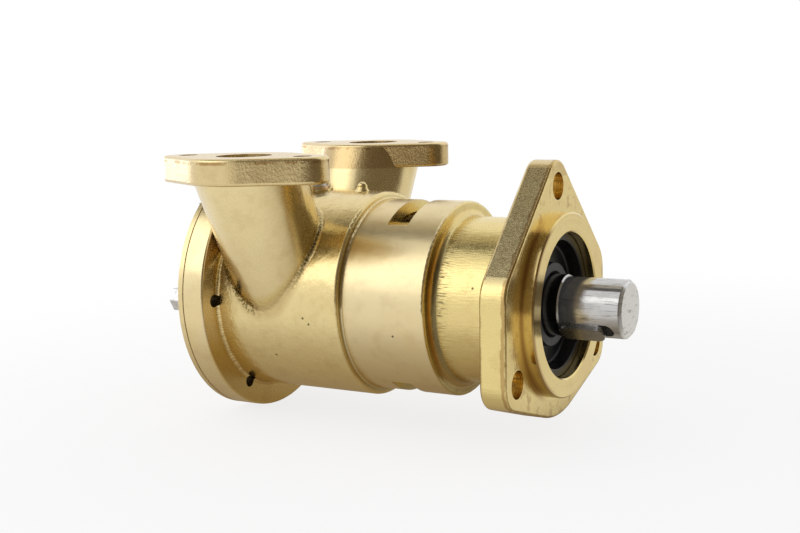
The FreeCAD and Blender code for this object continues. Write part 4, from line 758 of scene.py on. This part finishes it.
def screw_heads():
    """Six hexagonal prisms on the cover screw circle, closed at both ends."""
    points = head_points()
    index = np.arange(points.size // 3).reshape(points.shape[:3])
    low, high = index[:, :-1, :], index[:, 1:, :]
    sides = np.stack([low, np.roll(low, -1, axis=2), np.roll(high, -1, axis=2), high], axis=-1)
    faces = sides.reshape(-1, 4).tolist() + index[:, -1, :].tolist() + index[:, 0, ::-1].tolist()
    mesh = bpy.data.meshes.new("cover_screw_heads")
    mesh.from_pydata(points.reshape(-1, 3).tolist(), [], faces)
    tool = bmesh.new()
    tool.from_mesh(mesh)
    bmesh.ops.recalc_face_normals(tool, faces=tool.faces)
    tool.to_mesh(mesh)
    tool.free()
    piece = bpy.data.objects.new("cover_screw_heads", mesh)
    bpy.context.scene.collection.objects.link(piece)
    edges = piece.modifiers.new("soft_edges", "BEVEL")
    edges.width = edge_round
    edges.segments = 2
    piece.data.materials.append(nodes["cover_screws"].data.materials[0])
    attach(piece, "housing")
    print("screw heads:", len(faces), "faces,", round(screw_head_height * 1000, 1), "mm tall")


screw_heads()

# %% [markdown]
# ## Rubber, carbon, ceramic and paper
#
# None of these is a metal. What tells them apart is mostly roughness: moulded rubber has
# a faint satin, carbon is nearly matt, lapped ceramic is smooth, and paper is dull.


# %% Soft and mineral finishes
def plain_solid(name, colour, roughness, grain_scale, grain_depth, shine=0.5):
    """A non-metal with a mottled tint and a fine grain."""
    material, r = new_finish(name)
    place = r.position()
    grain = r.noise(place, grain_scale, 4.0, 0.6)
    lighter = tuple(min(1.0, c * 1.35 + 0.004) for c in colour)
    tint = r.blend(r.fade(grain, 0.3, 0.75), colour, lighter)
    relief = r.bump(grain, grain_depth, 0.6)
    rough = r.fade(grain, 0.3, 0.7, roughness - 0.06, roughness + 0.06)
    finish_with(r, {"Base Color": tint, "Roughness": rough, "Normal": relief, "Specular IOR Level": shine})
    return material


dress(plain_solid("seal_rubber", (0.002, 0.002, 0.0025), 0.34, 900.0, 0.00003, 0.22), "oil_seal_case",
      "inner_lip_seal", "slinger", "seat_cup", "seal_bellows")
dress(plain_solid("seal_lip", (0.022, 0.023, 0.028), 0.45, 900.0, 0.00003, 0.4), "oil_seal_lip")
dress(plain_solid("impeller_rubber", (0.02, 0.02, 0.022), 0.5, 700.0, 0.00006), "impeller")
dress(plain_solid("carbon", (0.03, 0.03, 0.032), 0.4, 1500.0, 0.00002), "carbon_face")
dress(plain_solid("ceramic", (0.78, 0.77, 0.72), 0.18, 800.0, 0.00001), "ceramic_seat")
dress(plain_solid("gasket_paper", (0.42, 0.35, 0.21), 0.8, 1800.0, 0.00005), "cover_gasket")

# %% [markdown]
# ## The studio
#
# Metal shows the room. The room here is a plain white one, and its only dark things are
# two large cards: a grey one curves round the camera's side and a tan one hangs overhead.
# Their reflections draw the dark bands along the barrels, on the necks and on the
# flanges' rims. The camera itself never sees a card, and cards cast no shadow. The floor
# looks white to the eye, and polished metal sees a painted shadow on it under and behind the pump.


# %% World
def white_room():
    """White world for the eye and for reflections, a little softer as a light."""
    world = bpy.data.worlds.new("studio")
    world.use_nodes = True
    bpy.context.scene.world = world
    r = Recipe(world.node_tree)
    path = r.add("ShaderNodeLightPath")
    seen = r.either(path.outputs["Is Camera Ray"], path.outputs["Is Glossy Ray"],
                    path.outputs["Is Transmission Ray"])
    colour = r.blend(seen, (0.80, 0.80, 0.80), (1.0, 1.0, 1.0))
    background = r.add("ShaderNodeBackground", {"Color": colour, "Strength": 1.0})
    r.add("ShaderNodeOutputWorld", {"Surface": background.outputs[0]})


white_room()

# %% Studio colours and middle
card_grey = (0.17, 0.14, 0.10)
card_pale = (0.84, 0.80, 0.72)
overhead_tan = (0.52, 0.47, 0.38)
floor_size = 6.0
middle = ((drawing_box[0][0] + flange_face_x) / 2, 0.0, 0.0)
half_length = flange_face_x - middle[0]
print("studio centred on X", round(middle[0] * 1000, 1), "mm")


def bearing_of(r, x, y):
    """Direction of a place seen from the pump: 0 towards -Y and a quarter turn towards +X."""
    return r.math("ARCTAN2", r.minus(x, middle[0]), r.times(y, -1.0))


# %% Floor
def floor_painted_shadow(r):
    """What polished metal sees of the floor: a glow with a painted shadow under and behind the pump and
    beneath the round card.
    """
    x, y, _ = r.split(r.position())
    past_end = r.either(r.minus(r.math("ABSOLUTE", r.minus(x, middle[0])), half_length), 0.0)
    gap = r.reach(past_end, y)
    bearing = bearing_of(r, x, y)
    behind = r.fade(r.plus(r.times(x, 0.53), r.times(y, 0.85)), -0.05, 0.05)
    beside_drive_end = r.both(r.fade(x, -0.01, 0.03), r.fade(y, -0.03, 0.03))
    under_card = r.both(r.fade(bearing, math.radians(20), math.radians(75)),
                        r.fade(bearing, math.radians(112), math.radians(128), 1.0, 0.0),
                        r.fade(gap, 0.06, 0.25))
    front = r.blend(r.fade(gap, -0.02, 0.14), (0.30, 0.22, 0.12), (0.94, 0.93, 0.91))
    back = r.blend(r.fade(gap, -0.03, 0.42), (0.12, 0.09, 0.05), (0.93, 0.92, 0.90))
    back = r.blend(beside_drive_end, back, (0.80, 0.78, 0.71))
    return r.blend(under_card, r.blend(behind, front, back), card_grey)


def floor_paper():
    """Pale paper that keeps a light shadow; the eye sees it fade to plain white far away."""
    material, r = new_finish("floor_paper")
    place = r.position()
    x, y, _ = r.split(place)
    tint = r.blend(r.noise(place, 6.0, 2.0), (0.82, 0.81, 0.80), (0.86, 0.85, 0.84))
    paper = r.add("ShaderNodeBsdfDiffuse", {"Color": tint})
    white = r.add("ShaderNodeEmission", {"Color": (1.0, 1.0, 1.0, 1.0), "Strength": 1.0})
    # Polished metal sees this glow, with its painted shadow, in place of the paper.
    mirror = r.add("ShaderNodeEmission", {"Color": floor_painted_shadow(r), "Strength": 1.0})
    path = r.add("ShaderNodeLightPath")
    seen = r.either(path.outputs["Is Camera Ray"], path.outputs["Is Transmission Ray"])
    whiteness = r.times(seen, r.fade(r.reach(x, y), 0.12, 0.45, 0.80, 1.0))
    plain = r.add("ShaderNodeMixShader", {0: whiteness, 1: paper.outputs[0], 2: white.outputs[0]})
    mixed = r.add("ShaderNodeMixShader", {0: path.outputs["Is Glossy Ray"], 1: plain.outputs[0],
                                          2: mirror.outputs[0]})
    r.add("ShaderNodeOutputMaterial", {"Surface": mixed.outputs[0]})
    return material


def studio_floor():
    """Wide level square just under the pump's lowest point."""
    corners = floor_size * np.array([(-1.0, -1.0, 0.0), (1.0, -1.0, 0.0), (1.0, 1.0, 0.0), (-1.0, 1.0, 0.0)])
    corners[:, 2] = ground_z - 0.0002
    mesh = bpy.data.meshes.new("floor")
    mesh.from_pydata(corners.tolist(), [], [(0, 1, 2, 3)])
    floor = bpy.data.objects.new("floor", mesh)
    bpy.context.scene.collection.objects.link(floor)
    mesh.materials.append(floor_paper())
    print("floor at Z", round(ground_z * 1000, 1), "mm")


studio_floor()


# %% Cards
def reflection_card(name, points, faces, glow):
    """Card that only reflections see; glow fills in its colour from a recipe."""
    mesh = bpy.data.meshes.new(name)
    mesh.from_pydata(points, [], faces)
    card = bpy.data.objects.new(name, mesh)
    bpy.context.scene.collection.objects.link(card)
    material, r = new_finish(name + "_paper")
    shown = r.add("ShaderNodeEmission", {"Color": glow(r), "Strength": 1.0})
    r.add("ShaderNodeOutputMaterial", {"Surface": shown.outputs[0]})
    mesh.materials.append(material)
    card.visible_camera = False
    card.visible_diffuse = False
    card.visible_transmission = False
    card.visible_shadow = False
    print(name, "with", len(faces), "faces")


def round_card_glow(r):
    """Dark card that pales towards its left edge, most of all low down."""
    x, y, z = r.split(r.position())
    left = r.fade(bearing_of(r, x, y), math.radians(1), math.radians(32), 1.0, 0.0)
    low = r.fade(z, 0.20, 0.45, 1.0, 0.15)
    return r.blend(r.both(left, low), card_grey, card_pale)


def round_card(name, start_degrees, end_degrees, low_degrees, high_degrees, distance):
    """Part of a globe round the pump, between two bearings from -Y and two heights.

    X = distance cos(height) sin(bearing), Y = -distance cos(height) cos(bearing),
    Z = distance sin(height), with X counted from the pump's middle.
    """
    bearing = np.radians(np.linspace(start_degrees, end_degrees, 33))[None, :]
    height = np.radians(np.linspace(low_degrees, high_degrees, 21))[:, None]
    points = np.stack([middle[0] + distance * np.cos(height) * np.sin(bearing),
                       -distance * np.cos(height) * np.cos(bearing),
                       distance * np.sin(height) * np.ones_like(bearing)], axis=-1)
    rows, columns = points.shape[:2]
    row, column = np.meshgrid(np.arange(rows - 1), np.arange(columns - 1), indexing="ij")
    first = (row * columns + column).ravel()
    faces = np.stack([first, first + 1, first + columns + 1, first + columns], axis=-1)
    reflection_card(name, points.reshape(-1, 3).tolist(), faces.tolist(), round_card_glow)


def overhead_glow(r):
    """Tan card with a dark near half."""
    _, y, _ = r.split(r.position())
    near = tuple(0.16 * c for c in overhead_tan)
    return r.blend(r.fade(y, -0.02, 0.08), near, overhead_tan)


def hanging_card(name, low_x, high_x, low_y, high_y, height):
    """Level card overhead."""
    corners = ((low_x, low_y), (low_x, high_y), (high_x, high_y), (high_x, low_y))
    points = [(x, y, height) for x, y in corners]
    reflection_card(name, points, [(0, 1, 2, 3)], overhead_glow)


round_card("camera_side_card", 1.0, 120.0, -3.0, 76.0, 0.9)
hanging_card("overhead_card", -1.00, -0.10, -0.20, 0.32, 0.86)


# %% Lamps
def soft_box(name, bearing_degrees, height_degrees, distance, width, height, brightness):
    """Rectangular lamp that faces the pump; brightness is what its surface shows, white being 1."""
    light = bpy.data.lights.new(name, "AREA")
    light.shape = "RECTANGLE"
    light.size = width
    light.size_y = height
    light.energy = brightness * math.pi * width * height
    bearing, rise = math.radians(bearing_degrees), math.radians(height_degrees)
    away = Vector((math.cos(rise) * math.sin(bearing), -math.cos(rise) * math.cos(bearing), math.sin(rise)))
    lamp = bpy.data.objects.new(name, light)
    lamp.location = Vector(middle) + distance * away
    lamp.rotation_euler = (-away).to_track_quat("-Z", "Y").to_euler()
    bpy.context.scene.collection.objects.link(lamp)
    print(name, "gives", round(light.energy, 2), "W")


soft_box("front_left_box", -42, 31, 0.95, 0.75, 0.60, 0.80)
soft_box("left_box", -106, 4, 1.00, 0.75, 0.22, 1.30)

# %% [markdown]
# ## The camera
#
# The camera was worked out from the photograph: its round faces show as ellipses, and
# their shapes give the angle of view and the distance. The picture is 800 by 533 and the
# lens is given for a 36 mm wide sensor.

# %% Camera
camera_place = (0.166316, -0.409215, 0.079727)
camera_azimuth = math.radians(29.417)
camera_drop = math.radians(8.399)
camera_roll = -0.024
camera_lens = 56.355


def photo_camera():
    """Camera that looks along the azimuth and down, rolled slightly."""
    data = bpy.data.cameras.new("camera")
    data.sensor_width = 36.0
    data.lens = camera_lens
    data.clip_start = 0.01
    camera = bpy.data.objects.new("camera", data)
    forward = Vector((-math.sin(camera_azimuth) * math.cos(camera_drop),
                      math.cos(camera_azimuth) * math.cos(camera_drop), -math.sin(camera_drop)))
    level = Vector((math.cos(camera_azimuth), math.sin(camera_azimuth), 0.0))
    rise = level.cross(forward)
    right = level * math.cos(camera_roll) + rise * math.sin(camera_roll)
    up = rise * math.cos(camera_roll) - level * math.sin(camera_roll)
    turn = camera.matrix_world.to_3x3()
    turn.col[0] = right
    turn.col[1] = up
    turn.col[2] = -forward
    camera.matrix_world = turn.to_4x4()
    camera.location = camera_place
    bpy.context.scene.collection.objects.link(camera)
    bpy.context.scene.camera = camera


photo_camera()
bpy.context.scene.view_settings.view_transform = "Standard"
